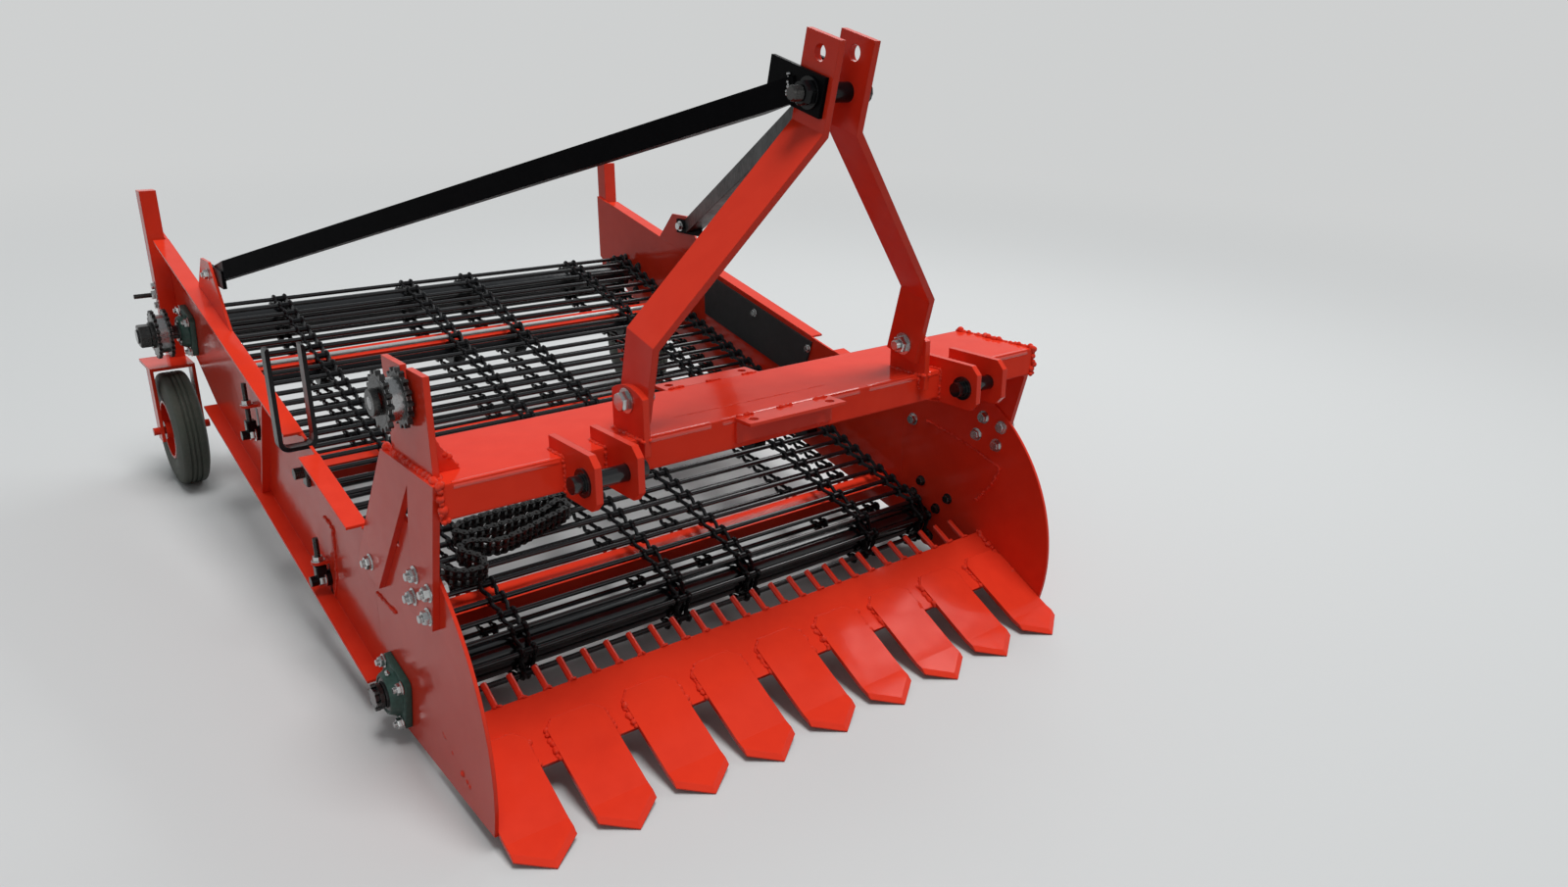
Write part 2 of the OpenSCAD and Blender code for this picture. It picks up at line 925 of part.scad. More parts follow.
// Fork plate on the beam's left end that carries the loose sprocket
stand_front_y = 25;
stand_rear_y = 190;
stand_rise = 155;
stand_slot_y = 100;
stand_slot_r = 12;
loose_z = 708;
slot_below = 30;
stand_t = 10;
stand_x = outer_half - stand_t;
spindle_cap = 6;
spindle_lip = 8;
run_side = 5;
gusset_y = 60;
gusset_t = 8;
gusset_reach = 42;
gusset_rise = 62;
sprocket_w = 2 * row_w + row_gap;
spindle_r = stand_slot_r - seat;
spindle_end = outer_half + 2 * run_side + sprocket_w;
module sprocket_stand() {
    color(paint)
    parked()
    on_left() {
        side_sheet(stand_x, stand_t)
        difference() {
            translate([stand_front_y, beam_top])
            square([stand_rear_y - stand_front_y, stand_rise]);
            translate([stand_slot_y, loose_z - slot_below])
            circle(r = stand_slot_r, $fn = 48);
            translate([stand_slot_y - stand_slot_r, loose_z - slot_below])
            square([2 * stand_slot_r, stand_rise]);
        }
        translate([stand_x, gusset_y, beam_top])
        rotate([90, 0, 0])
        linear_extrude(gusset_t)
        polygon([[0, 0], [0, gusset_rise], [-gusset_reach, 0]]);
        bar_x(stand_x - spindle_cap, stand_x, stand_slot_y, loose_z, stand_slot_r + spindle_lip);
        bar_x(stand_x, spindle_end, stand_slot_y, loose_z, spindle_r);
        bar_x(spindle_end, spindle_end + spindle_cap, stand_slot_y, loose_z, stand_slot_r + spindle_lip);
    }
}

// Duplex sprocket with its bore along X, from x = 0 to its full width
tooth_depth = 8;
module duplex_sprocket(bore, tip_r, teeth) {
    rotate([90, 0, 90])
    difference() {
        union() {
            cylinder(r = tip_r - tooth_depth - 3, h = sprocket_w, $fn = 64);
            for (row = [0, 1])
                translate([0, 0, row * (row_w + row_gap)])
                linear_extrude(row_w)
                difference() {
                    circle(r = tip_r, $fn = 64);
                    for (tooth = [0 : teeth - 1])
                        rotate(tooth * 360 / teeth)
                        translate([tip_r, 0])
                        circle(r = tooth_depth * 0.8, $fn = 16);
                }
        }
        translate([0, 0, -overcut])
        cylinder(r = bore, h = sprocket_w + 2 * overcut, $fn = 48);
    }
}

run_gap = 0.05;
module loose_sprocket() {
    color(steel)
    parked()
    translate([-outer_half - run_side - sprocket_w, stand_slot_y, loose_z])
    duplex_sprocket(spindle_r + run_gap, sprocket_r, sprocket_teeth);
}

drive_sprocket_x = -(outer_half + 52 + sprocket_w);
module drive_sprocket() {
    color(steel)
    parked()
    translate([drive_sprocket_x, drive_y, drive_z])
    duplex_sprocket(shaft_r + seat, drive_sprocket_r, drive_sprocket_teeth);
}

// Square four-bolt flange bearing round a shaft along X, from x = 0 outwards
bearing_side = 106;
bearing_t = 14;
bearing_hub_r = 36;
bearing_hub = 34;
module flange_bearing() {
    difference() {
        union() {
            rotate([90, 0, 90])
            linear_extrude(bearing_t)
            rotate(rail_slope)
            translate([-bearing_side / 2, -bearing_side / 2])
            square(bearing_side);
            bar_x(0, bearing_hub, 0, 0, bearing_hub_r);
        }
        bar_x(-overcut, bearing_hub + overcut, 0, 0, shaft_r + seat);
    }
}

module roller_bearings() {
    color(casting)
    parked()
    for (side = [0, 1])
        mirror([side, 0, 0])
        translate([outer_half, roller_y, roller_z])
        flange_bearing();
}

module drive_bearings() {
    color(casting)
    parked()
    for (side = [0, 1])
        mirror([side, 0, 0])
        translate([outer_half, drive_y, drive_z])
        flange_bearing();
}

// Fork over the wheel; its stem stands on the outside of the side plate's rear end
fork_w = 50;
fork_clear = 14;
stem_w = 45;
module wheel_fork() {
    crown_z = axle_z + tyre_r + fork_clear;
    half = fork_gap / 2 + fork_t;
    crown_front = axle_y - fork_w / 2;
    translate([track_half, 0, 0]) {
        for (side = [0, 1])
            mirror([side, 0, 0])
            difference() {
                translate([fork_gap / 2, crown_front, axle_z - fork_w / 2])
                cube([fork_t, fork_w, crown_z + fork_t / 2 - axle_z + fork_w / 2]);
                bar_x(fork_gap / 2 - overcut, half + overcut, axle_y, axle_z, axle_r + seat);
            }
        translate([-half, crown_front, crown_z])
        cube([2 * half, rail_end_y - crown_front, fork_t]);
        bar_x(track_half - axle_out, axle_out - track_half, axle_y, axle_z, axle_r);
    }
    translate([outer_half, rail_end_y - stem_w, crown_z + fork_t / 2])
    cube([flange_w, stem_w, rail_top(rail_end_y) + stem_rise - crown_z - fork_t / 2]);
}

module wheel_fork_left() {
    color(paint)
    parked()
    on_left()
    wheel_fork();
}

module wheel_fork_right() {
    color(paint)
    parked()
    wheel_fork();
}

rim_r = 78;
rim_hub_r = 24;
rim_hub_w = tyre_w + 6;
rim_dish = 12;
module rim() {
    translate([track_half, axle_y, axle_z])
    rotate([0, 90, 0])
    rotate_extrude($fn = 96)
    polygon([
        [axle_r + run_gap, -rim_hub_w / 2], [rim_hub_r, -rim_hub_w / 2],
        [rim_hub_r, -rim_dish], [rim_r - 6, -rim_dish],
        [rim_r - 6, -tyre_w / 2 + 4], [rim_r, -tyre_w / 2 + 4],
        [rim_r, tyre_w / 2 - 4], [rim_r - 6, tyre_w / 2 - 4],
        [rim_r - 6, rim_dish], [rim_hub_r, rim_dish],
        [rim_hub_r, rim_hub_w / 2], [axle_r + run_gap, rim_hub_w / 2]
    ]);
}

module rim_left() {
    color(paint)
    parked()
    on_left()
    rim();
}

module rim_right() {
    color(paint)
    parked()
    rim();
}

tyre_shoulder = 14;
module tyre() {
    translate([track_half, axle_y, axle_z])
    rotate([0, 90, 0])
    rotate_extrude($fn = 64)
    polygon([
        [rim_r + seat, -tyre_w / 2 + 6], [rim_r + 20, -tyre_w / 2],
        [tyre_r - tyre_shoulder, -tyre_w / 2], [tyre_r, -tyre_w / 2 + tyre_shoulder],
        [tyre_r, tyre_w / 2 - tyre_shoulder], [tyre_r - tyre_shoulder, tyre_w / 2],
        [rim_r + 20, tyre_w / 2], [rim_r + seat, tyre_w / 2 - 6]
    ]);
}

module tyre_left() {
    color(rubber)
    parked()
    on_left()
    tyre();
}

module tyre_right() {
    color(rubber)
    parked()
    tyre();
}

flap_front_y = 722;
flap_rear_y = 1215;
flap_t = 5;
flap_drop = 125;
flap_below = 14;
flap_cut = 40;
module rubber_flaps() {
    color(rubber)
    parked()
    for (side = [0, 1])
        mirror([side, 0, 0])
        side_sheet(inner_half - flap_t, flap_t)
        polygon([
            [flap_front_y, rail_top(flap_front_y) - flap_below],
            [flap_rear_y, rail_top(flap_rear_y) - flap_below],
            [flap_rear_y, rail_top(flap_rear_y) - flap_below - flap_drop],
            [flap_front_y + flap_cut, rail_top(flap_front_y + flap_cut) - flap_below - flap_drop]
        ]);
}

module chain_bracket() {
    color(black)
    parked()
    on_left()
    translate([bracket_inner_x, bracket_y - bracket_w / 2, bracket_seat_z])
    difference() {
        cube([bracket_outer_x - bracket_inner_x, bracket_w, bracket_rise]);
        translate([bracket_t, -overcut, bracket_t])
        cube([bracket_outer_x - bracket_inner_x - 2 * bracket_t, bracket_w + 2 * overcut, bracket_rise]);
    }
}

adjuster_front_y = 661;
adjuster_front_drop = 229;
adjuster_front_bolt = 41;
adjuster_rear_y = 1066;
adjuster_rear_drop = 103;
adjuster_rear_bolt = 68;
adjuster_tab_w = 28;
adjuster_tab_reach = 32;
adjuster_tab_t = 6;
stud_out = 18;
stud_r = 6;
stud_above = 50;
adjuster_bolt_r = 13;
adjuster_bolt_reach = 39;

// Threaded stud through a welded tab, down to the bolt that it sets in its slot
module adjuster(y, drop, bolt_drop) {
    translate([outer_half, y, rail_top(y) - drop]) {
        translate([0, -adjuster_tab_w / 2, -adjuster_tab_t])
        cube([adjuster_tab_reach, adjuster_tab_w, adjuster_tab_t]);
        translate([stud_out, 0, -bolt_drop])
        cylinder(r = stud_r, h = stud_above + bolt_drop, $fn = 24);
        bar_x(0, adjuster_bolt_reach, 0, -bolt_drop, adjuster_bolt_r);
    }
}

module adjusters() {
    color(zinc)
    parked()
    for (side = [0, 1])
        mirror([side, 0, 0]) {
            adjuster(adjuster_front_y, adjuster_front_drop, adjuster_front_bolt);
            adjuster(adjuster_rear_y, adjuster_rear_drop, adjuster_rear_bolt);
        }
}

// Drive chain laid to and fro on the web's upper run, standing on its side. Its folds are given
// from the web's left edge and from the front roller's axis, and a smooth line runs through them.
chain_t = 15;
chain_w = 40;
chain_steps = 3;
chain_folds = [
    [467, 306], [387, 297], [257, 294], [190, 286], [190, 256], [277, 254], [359, 260],
    [411, 282], [420, 256], [342, 230], [249, 208], [193, 228], [164, 212], [192, 172],
    [181, 145], [139, 150], [109, 180]
];
last_fold = len(chain_folds) - 1;
function fold(i) = chain_folds[max(0, min(last_fold, i))];
function chain_point(i, t) =
    let (a = fold(i - 1), b = fold(i), c = fold(i + 1), d = fold(i + 2))
    (2 * b + t * (c - a) + t * t * (2 * a - 5 * b + 4 * c - d)
        + t * t * t * (3 * b - 3 * c + d - a)) / 2;
chain_line = [
    for (k = [0 : last_fold * chain_steps])
        chain_point(floor(k / chain_steps), k / chain_steps - floor(k / chain_steps))
];
chain_last = len(chain_line) - 1;
function chain_run(k) = chain_line[min(k + 1, chain_last)] - chain_line[max(k - 1, 0)];
function chain_edge(k, side) =
    let (run = chain_run(k) / norm(chain_run(k)))
    chain_line[k] + side * chain_t / 2 * [-run[1], run[0]];
module drive_chain() {
    color(steel)
    parked()
    on_web_slope()
    translate([-web_half, 0, web_r + rod_r + seat])
    linear_extrude(chain_w)
    polygon(concat(
        [for (k = [0 : chain_last]) chain_edge(k, 1)],
        [for (k = [chain_last : -1 : 0]) chain_edge(k, -1)]
    ));
}

main_beam();
end_plate_left();
end_plate_right();
gearbox_mounts();
side_shield_left();
side_shield_right();
side_rail_left();
side_rail_right();
share_plate();
share_points();
finger_bars();
front_roller();
drive_shaft();
web();
web_joints();
support_rollers();
cross_members();
mast_leg_left();
mast_leg_right();
mast_lugs();
mast_spacer();
strut_left();
strut_right();
strut_tabs();
hitch_clevises();
hitch_pins();
sprocket_stand();
loose_sprocket();
drive_sprocket();
roller_bearings();
drive_bearings();
wheel_fork_left();
wheel_fork_right();
rim_left();
rim_right();
tyre_left();
tyre_right();
rubber_flaps();
chain_bracket();
adjusters();
drive_chain();
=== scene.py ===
"""Looks of the potato digger: paint, rods, chain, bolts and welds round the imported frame."""

import json
import math

import bmesh
import bpy
from mathutils import Matrix, Vector


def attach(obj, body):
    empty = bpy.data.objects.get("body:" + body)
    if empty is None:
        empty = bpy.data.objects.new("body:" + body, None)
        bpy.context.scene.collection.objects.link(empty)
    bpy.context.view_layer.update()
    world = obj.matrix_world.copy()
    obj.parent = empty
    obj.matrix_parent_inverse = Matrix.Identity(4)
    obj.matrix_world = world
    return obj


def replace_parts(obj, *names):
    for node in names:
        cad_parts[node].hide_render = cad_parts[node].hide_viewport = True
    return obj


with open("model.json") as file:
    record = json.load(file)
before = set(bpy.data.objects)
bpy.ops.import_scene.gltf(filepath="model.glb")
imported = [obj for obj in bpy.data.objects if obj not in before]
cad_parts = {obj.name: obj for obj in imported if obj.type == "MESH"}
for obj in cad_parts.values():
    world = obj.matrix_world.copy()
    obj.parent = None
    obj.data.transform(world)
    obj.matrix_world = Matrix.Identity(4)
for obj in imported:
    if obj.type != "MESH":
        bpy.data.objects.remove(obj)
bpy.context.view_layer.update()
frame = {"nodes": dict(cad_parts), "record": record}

# ---------------------------------------------------------------- working frame
# The machine is drawn with its beam level: X across, Y from the beam's front face to the rear,
# Z from the underside of the share points, in metres. WORK carries that into the parked frame.
HITCH_X, HITCH_Y, HITCH_Z = 0.4125, -0.060, 0.574
mounts = {m["name"]: m for m in frame["record"]["mounts"]}
beam_up = mounts["gearbox_hole_rear_left"]["axis"]
PARK_TILT = math.atan2(beam_up[1], beam_up[2])
WORK = (
    Matrix.Translation(mounts["lower_hitch_pin_left"]["pos_m"])
    @ Matrix.Rotation(-PARK_TILT, 4, "X")
    @ Matrix.Translation((HITCH_X, -HITCH_Y, -HITCH_Z))
)

BEAM_TOP, BEAM_BOTTOM, BEAM_DEPTH = 0.598, 0.543, 0.215
PLATE_IN, PLATE_OUT = 0.645, 0.651
END_PLATE_OUT = PLATE_OUT + 0.011
MAST_FOOT_X, MAST_FOOT_Y, MAST_FOOT_Z = 0.309, 0.033, 0.656
MAST_LEAN, MAST_BOLT_UP, LUG_T = math.radians(15), 0.487, 0.012
STRUT_FOOT_Y, STRUT_FOOT_RISE, STRUT_PLATE_T = 1.330, 0.078, 0.008
RAIL_SLOPE, RAIL_REF_Y, RAIL_REF_Z = math.radians(13.6), 0.800, 0.508
ROLLER_Y, ROLLER_Z = 0.300, 0.123
DRIVE_Y, DRIVE_Z = 1.640, 0.528
WEB_R, ROD_R, ROD_COUNT, WEB_HALF = 0.052, 0.0055, 66, 0.617
JOINT_ROWS = (0.088, 0.430, 0.602)
WORN_ROD = 23
AXLE_Y, AXLE_Z, TRACK_HALF = 1.720, 0.257, 0.702
SPINDLE_Y, SPINDLE_Z = 0.100, 0.708
BEARINGS = (
    ("roller", "roller_bearings", ROLLER_Y, ROLLER_Z),
    ("drive", "drive_bearings", DRIVE_Y, DRIVE_Z),
)

SIDES = (-1, 1)
LEFT, RIGHT, UP = Vector((-1, 0, 0)), Vector((1, 0, 0)), Vector((0, 0, 1))
ONE = (1.0, 1.0, 1.0)


def rail_top(y):
    """Height of the side plates' upper edge at y."""
    return RAIL_REF_Z + (y - RAIL_REF_Y) * math.tan(RAIL_SLOPE)


# ---------------------------------------------------------------- camera
CAMERA_PLACE = (-1.1797, -1.4568, 1.1661)
CAMERA_YAW, CAMERA_PITCH = 0.6705714, 0.3302776
SENSOR_MM, LENS_MM = 36.0, 25.317


def set_camera():
    """The photograph's viewpoint: yaw from +Y towards +X, pitch downwards."""
    data = bpy.data.cameras.new("camera")
    data.sensor_width = SENSOR_MM
    data.lens = LENS_MM
    camera = bpy.data.objects.new("camera", data)
    aim = Matrix.Rotation(-CAMERA_YAW, 4, "Z") @ Matrix.Rotation(math.pi / 2 - CAMERA_PITCH, 4, "X")
    camera.matrix_world = WORK @ Matrix.Translation(CAMERA_PLACE) @ aim
    bpy.context.scene.collection.objects.link(camera)
    bpy.context.scene.camera = camera


set_camera()


# ---------------------------------------------------------------- nodes
def fill(tree, node, inputs):
    """Gives a node's sockets their values, or links them to the outputs given for them."""
    for key, value in inputs.items():
        if isinstance(value, bpy.types.NodeSocket):
            tree.links.new(value, node.inputs[key])
        else:
            node.inputs[key].default_value = value
    return node


def add_node(tree, kind, inputs=None, **settings):
    """New node with its settings; inputs maps a socket to a value or to an output to link."""
    node = tree.nodes.new(kind)
    for key, value in settings.items():
        setattr(node, key, value)
    return fill(tree, node, inputs or {})


def calc(tree, operation, a, b):
    """Output of a math node over two values or sockets."""
    return add_node(tree, "ShaderNodeMath", {0: a, 1: b}, operation=operation).outputs[0]


def noise(tree, scale, detail, roughness=0.5):
    """Noise over the object's own coordinates."""
    return add_node(tree, "ShaderNodeTexNoise", {
        "Vector": object_coords(tree), "Scale": scale, "Detail": detail, "Roughness": roughness,
    }).outputs["Fac"]


def object_coords(tree):
    return add_node(tree, "ShaderNodeTexCoord").outputs["Object"]


def new_tree(name, kind, inputs, outputs):
    """Empty node tree with its sockets; returns it, what it is given, and its output node."""
    tree = bpy.data.node_groups.new(name, kind)
    for in_out, sockets in (("INPUT", inputs), ("OUTPUT", outputs)):
        for label, socket in sockets.items():
            tree.interface.new_socket(label, in_out=in_out, socket_type="NodeSocket" + socket)
    return tree, tree.nodes.new("NodeGroupInput").outputs, tree.nodes.new("NodeGroupOutput")


# ---------------------------------------------------------------- shader groups
def make_mottle_group():
    """Uneven film: two sizes of soft patches that shift a colour towards another."""
    tree, given, result = new_tree("mottle", "ShaderNodeTree", {
        "Base": "Color", "Other": "Color", "Patch Scale": "Float", "Amount": "Float",
    }, {"Color": "Color", "Mask": "Float"})
    broad = noise(tree, given["Patch Scale"], 4.0, 0.55)
    fine = noise(tree, calc(tree, "MULTIPLY", given["Patch Scale"], 9.0), 3.0)
    spread = add_node(tree, "ShaderNodeMapRange", {
        "Value": calc(tree, "MULTIPLY", broad, fine), "From Min": 0.14, "From Max": 0.42,
    }).outputs["Result"]
    blend = add_node(tree, "ShaderNodeMix", {
        "Factor": calc(tree, "MULTIPLY", spread, given["Amount"]),
        6: given["Base"], 7: given["Other"],
    }, data_type="RGBA")
    fill(tree, result, {"Color": blend.outputs[2], "Mask": spread})
    return tree


SKIN_SOCKETS = ("Wave Scale", "Grain Scale", "Wave", "Grain", "Depth", "Edge Radius")


def make_skin_group():
    """Surface of a coat or casting: slow waves with a fine grain on them, over rounded edges."""
    tree, given, result = new_tree(
        "surface_skin", "ShaderNodeTree",
        dict.fromkeys(SKIN_SOCKETS, "Float"), {"Normal": "Vector"},
    )
    low = calc(tree, "MULTIPLY", noise(tree, given["Wave Scale"], 1.0), given["Wave"])
    high = calc(tree, "MULTIPLY", noise(tree, given["Grain Scale"], 2.0), given["Grain"])
    edge = add_node(tree, "ShaderNodeBevel", {"Radius": given["Edge Radius"]}, samples=4)
    bump = add_node(tree, "ShaderNodeBump", {
        "Strength": 1.0, "Distance": given["Depth"], "Height": calc(tree, "ADD", low, high),
        "Normal": edge.outputs[0],
    })
    fill(tree, result, {"Normal": bump.outputs[0]})
    return tree


MOTTLE = make_mottle_group()
SKIN = make_skin_group()


# ---------------------------------------------------------------- finishes
def finish(name, base, other, patch_scale, amount, roughness, skin,
           metallic=0.0, specular=0.5, coat=0.0, coat_roughness=0.1):
    """Material of this machine: mottled colour, uneven roughness and a skin of waves and grain."""
    material = bpy.data.materials.new(name)
    material.use_nodes = True
    tree = material.node_tree
    colour = add_node(tree, "ShaderNodeGroup", {
        "Base": (*base, 1), "Other": (*other, 1), "Patch Scale": patch_scale, "Amount": amount,
    }, node_tree=MOTTLE).outputs
    rough = add_node(tree, "ShaderNodeMapRange", {
        "Value": colour["Mask"], "To Min": roughness[0], "To Max": roughness[1],
    })
    surface = add_node(tree, "ShaderNodeGroup", dict(zip(SKIN_SOCKETS, skin)), node_tree=SKIN)
    fill(tree, tree.nodes["Principled BSDF"], {
        "Base Color": colour["Color"], "Metallic": metallic, "Roughness": rough.outputs["Result"],
        "Normal": surface.outputs["Normal"], "Specular IOR Level": specular,
        "Coat Weight": coat, "Coat Roughness": coat_roughness,
    })
    return material


# The skin's values follow SKIN_SOCKETS.
RED = finish(
    "red_paint", (0.76, 0.042, 0.017), (0.65, 0.028, 0.012), 3.0, 0.45, (0.12, 0.24),
    (26.0, 240.0, 0.8, 0.06, 0.0005, 0.002), specular=0.14, coat=0.05, coat_roughness=0.04,
)
RED_TUBE = finish(
    "red_paint_on_tube", (0.80, 0.042, 0.017), (0.70, 0.028, 0.012), 3.0, 0.45, (0.10, 0.20),
    (22.0, 240.0, 0.8, 0.06, 0.0006, 0.005), specular=0.03, coat=0.06, coat_roughness=0.03,
)
RED_ROUND = finish(
    "red_paint_on_round_bars", (0.80, 0.046, 0.020), (0.70, 0.030, 0.013), 6.0, 0.45, (0.14, 0.22),
    (60.0, 400.0, 0.6, 0.08, 0.0003, 0.0015), coat=0.55, coat_roughness=0.12,
)
BLACK = finish(
    "black_paint", (0.0035, 0.0036, 0.0045), (0.009, 0.009, 0.010), 8.0, 0.5, (0.16, 0.30),
    (60.0, 500.0, 0.6, 0.1, 0.0005, 0.0012), specular=0.22,
)
BLACK_ROUND = finish(
    "black_paint_on_rods", (0.0040, 0.0042, 0.0052), (0.011, 0.011, 0.012), 12.0, 0.5, (0.14, 0.26),
    (60.0, 500.0, 0.5, 0.1, 0.0003, 0.0010), specular=0.45, coat=0.35, coat_roughness=0.10,
)
BLACK_STRUT = finish(
    "black_paint_on_struts", (0.0028, 0.0029, 0.0036), (0.006, 0.006, 0.007), 8.0, 0.5,
    (0.28, 0.42), (50.0, 500.0, 0.6, 0.1, 0.0004, 0.0025), specular=0.03,
)
GREEN = finish(
    "green_casting", (0.024, 0.075, 0.058), (0.016, 0.045, 0.036), 14.0, 0.7, (0.38, 0.55),
    (90.0, 700.0, 0.6, 0.8, 0.0008, 0.003),
)
ZINC = finish(
    "bright_zinc", (0.58, 0.58, 0.57), (0.36, 0.37, 0.39), 60.0, 0.6, (0.16, 0.30),
    (150.0, 900.0, 0.3, 0.3, 0.00004, 0.0008), metallic=1.0,
)
STEEL = finish(
    "dark_steel", (0.070, 0.068, 0.066), (0.022, 0.022, 0.024), 30.0, 0.8, (0.22, 0.40),
    (120.0, 700.0, 0.4, 0.4, 0.00008, 0.0008), metallic=0.85,
)
MACHINED = finish(
    "machined_steel", (0.42, 0.42, 0.42), (0.20, 0.20, 0.21), 50.0, 0.7, (0.18, 0.34),
    (160.0, 900.0, 0.3, 0.4, 0.00005, 0.0008), metallic=1.0,
)
WORN = finish(
    "worn_bright_rod", (0.70, 0.70, 0.69), (0.48, 0.47, 0.46), 30.0, 0.6, (0.30, 0.45),
    (60.0, 800.0, 0.3, 0.5, 0.0001, 0.0005), metallic=0.7,
)
RUBBER = finish(
    "black_rubber", (0.014, 0.014, 0.015), (0.026, 0.026, 0.028), 10.0, 0.8, (0.5, 0.7),
    (24.0, 500.0, 1.0, 0.3, 0.0012, 0.001),
)
TYRE = finish(
    "tyre_rubber", (0.045, 0.055, 0.042), (0.085, 0.088, 0.076), 16.0, 0.9, (0.55, 0.8),
    (60.0, 600.0, 0.7, 0.5, 0.0010, 0.002),
)

FINISH_OF_SLOT = {
    "red_paint": RED, "rim_paint": RED, "black_paint": BLACK, "green_casting": GREEN,
    "zinc": ZINC, "dark_steel": STEEL, "rubber": RUBBER, "tyre": TYRE,
}
FINISH_OF_NODE = {
    "main_beam": RED_TUBE, "finger_bars": RED_ROUND,
    "strut_left": BLACK_STRUT, "strut_right": BLACK_STRUT, "mast_spacer": BLACK,
    "front_roller": BLACK_ROUND, "drive_shaft": BLACK_ROUND, "hitch_pins": BLACK_ROUND,
}


def dress_cad_nodes():
    """Each node of the frame takes its own finish, or that of its slot in the record."""
    for part in frame["record"]["subparts"]:
        name = part["node"]
        node = frame["nodes"][name]
        node.data.materials.clear()
        node.data.materials.append(FINISH_OF_NODE.get(name, FINISH_OF_SLOT[part["material_slot"]]))


dress_cad_nodes()


# ---------------------------------------------------------------- making meshes
def mesh_of(name, bm):
    """Mesh of a form whose faces all look outwards."""
    bmesh.ops.recalc_face_normals(bm, faces=bm.faces)
    mesh = bpy.data.meshes.new(name)
    bm.to_mesh(mesh)
    bm.free()
    return mesh


def link_object(name, mesh):
    made = bpy.data.objects.new(name, mesh)
    bpy.context.scene.collection.objects.link(made)
    return made


def show(name, mesh, body, smooth_angle):
    """Object at the origin, its mesh carried from the working frame into the parked frame."""
    mesh.transform(WORK)
    mesh.polygons.foreach_set("use_smooth", [True] * len(mesh.polygons))
    mesh.set_sharp_from_angle(angle=math.radians(smooth_angle))
    made = link_object(name, mesh)
    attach(made, body)
    return made


def piece(name, bm, material, body="digger", smooth_angle=40.0):
    """Visible piece from a form drawn in the working frame."""
    mesh = mesh_of(name, bm)
    mesh.materials.append(material)
    return show(name, mesh, body, smooth_angle)


def arc(centre, radius, start, end, steps):
    """Points (u, v) of an arc between two angles in degrees."""
    angles = [math.radians(start + (end - start) * k / steps) for k in range(steps + 1)]
    return [(centre[0] + radius * math.cos(a), centre[1] + radius * math.sin(a)) for a in angles]


def turns(count):
    """Angles of even steps round a full turn."""
    return [2 * math.pi * k / count for k in range(count)]


def frame_along(direction, hint=RIGHT):
    """Two unit vectors at right angles to a direction."""
    side = direction.cross(hint)
    if side.length < 1e-6:
        side = direction.cross(Vector((0, 1, 0)))
    side.normalize()
    return side, direction.cross(side).normalized()


def ring_at(centre, radius, side, other, sides):
    return [centre + radius * (math.cos(a) * side + math.sin(a) * other) for a in turns(sides)]


def join_rings(bm, rings, closed=False):
    """Skin over rings with equal numbers of points, capped at its ends or closed into a loop."""
    rings = [[bm.verts.new(point) for point in ring] for ring in rings]
    pairs = list(zip(rings, rings[1:])) + ([(rings[-1], rings[0])] if closed else [])
    for near, far in pairs:
        for k in range(len(near)):
            m = (k + 1) % len(near)
            bm.faces.new((near[k], near[m], far[m], far[k]))
    if not closed:
        bm.faces.new(rings[0][::-1])
        bm.faces.new(rings[-1])


def add_round(bm, start, end, r0, r1=None, sides=16):
    """Closed cylinder or cone between two points."""
    start, end = Vector(start), Vector(end)
    side, other = frame_along((end - start).normalized())
    radii = (r0, r0 if r1 is None else r1)
    rings = [ring_at(centre, r, side, other, sides) for centre, r in zip((start, end), radii)]
    join_rings(bm, rings)


def add_thread(bm, start, step, count, root, crest, sides):
    """Turns of a thread as double cones; step is the vector of one turn."""
    for k in range(count):
        foot = Vector(start) + k * step
        add_round(bm, foot, foot + step / 2, root, crest, sides)
        add_round(bm, foot + step / 2, foot + step, crest, root, sides)


def add_tube(bm, path, radius, sides=10, closed=False):
    """Round bar swept along a path of points, closed at its ends or into a loop."""
    path = [Vector(p) for p in path]
    last = len(path) - 1
    rings, side = [], None
    for i, point in enumerate(path):
        if closed:
            direction = (path[(i + 1) % len(path)] - path[i - 1]).normalized()
        else:
            direction = (path[min(i + 1, last)] - path[max(i - 1, 0)]).normalized()
        if side is None:
            side, _ = frame_along(direction)
        side = (side - side.dot(direction) * direction).normalized()
        rings.append(ring_at(point, radius, side, direction.cross(side), sides))
    join_rings(bm, rings, closed)


def add_prism(bm, outline, direction):
    """Closed prism: an outline of points pushed along a direction."""
    low = [Vector(p) for p in outline]
    join_rings(bm, [low, [p + Vector(direction) for p in low]])


def add_lathe(bm, origin, axis, profile, sides=40, closed=False):
    """Turned form: profile of (radius, distance along the axis); a loop if closed, else capped."""
    origin, axis = Vector(origin), Vector(axis).normalized()
    side, other = frame_along(axis, UP)
    rings = [ring_at(origin + along * axis, r, side, other, sides) for r, along in profile]
    join_rings(bm, rings, closed)


def add_ring(bm, origin, axis, inner, outer, thickness, sides=48):
    """Flat ring of rectangular section."""
    section = [(inner, 0.0), (outer, 0.0), (outer, thickness), (inner, thickness)]
    add_lathe(bm, origin, axis, section, sides, closed=True)


def add_block(bm, corner, opposite, chamfer=0.001):
    """Block with chamfered edges between two corners."""
    low, high = zip(*(sorted(pair) for pair in zip(corner, opposite)))
    made = bmesh.ops.create_cube(bm, size=1.0)["verts"]
    for v in made:
        v.co = Vector([low[k] + (v.co[k] + 0.5) * (high[k] - low[k]) for k in range(3)])
    if chamfer:
        edges = {e for v in made for e in v.link_edges}
        bmesh.ops.bevel(bm, geom=list(edges), offset=chamfer, segments=1, affect="EDGES")


def mirrored(paths):
    """Paths drawn for the right side, on the left and on the right."""
    return [[(side * x, y, z) for x, y, z in path] for side in SIDES for path in paths]


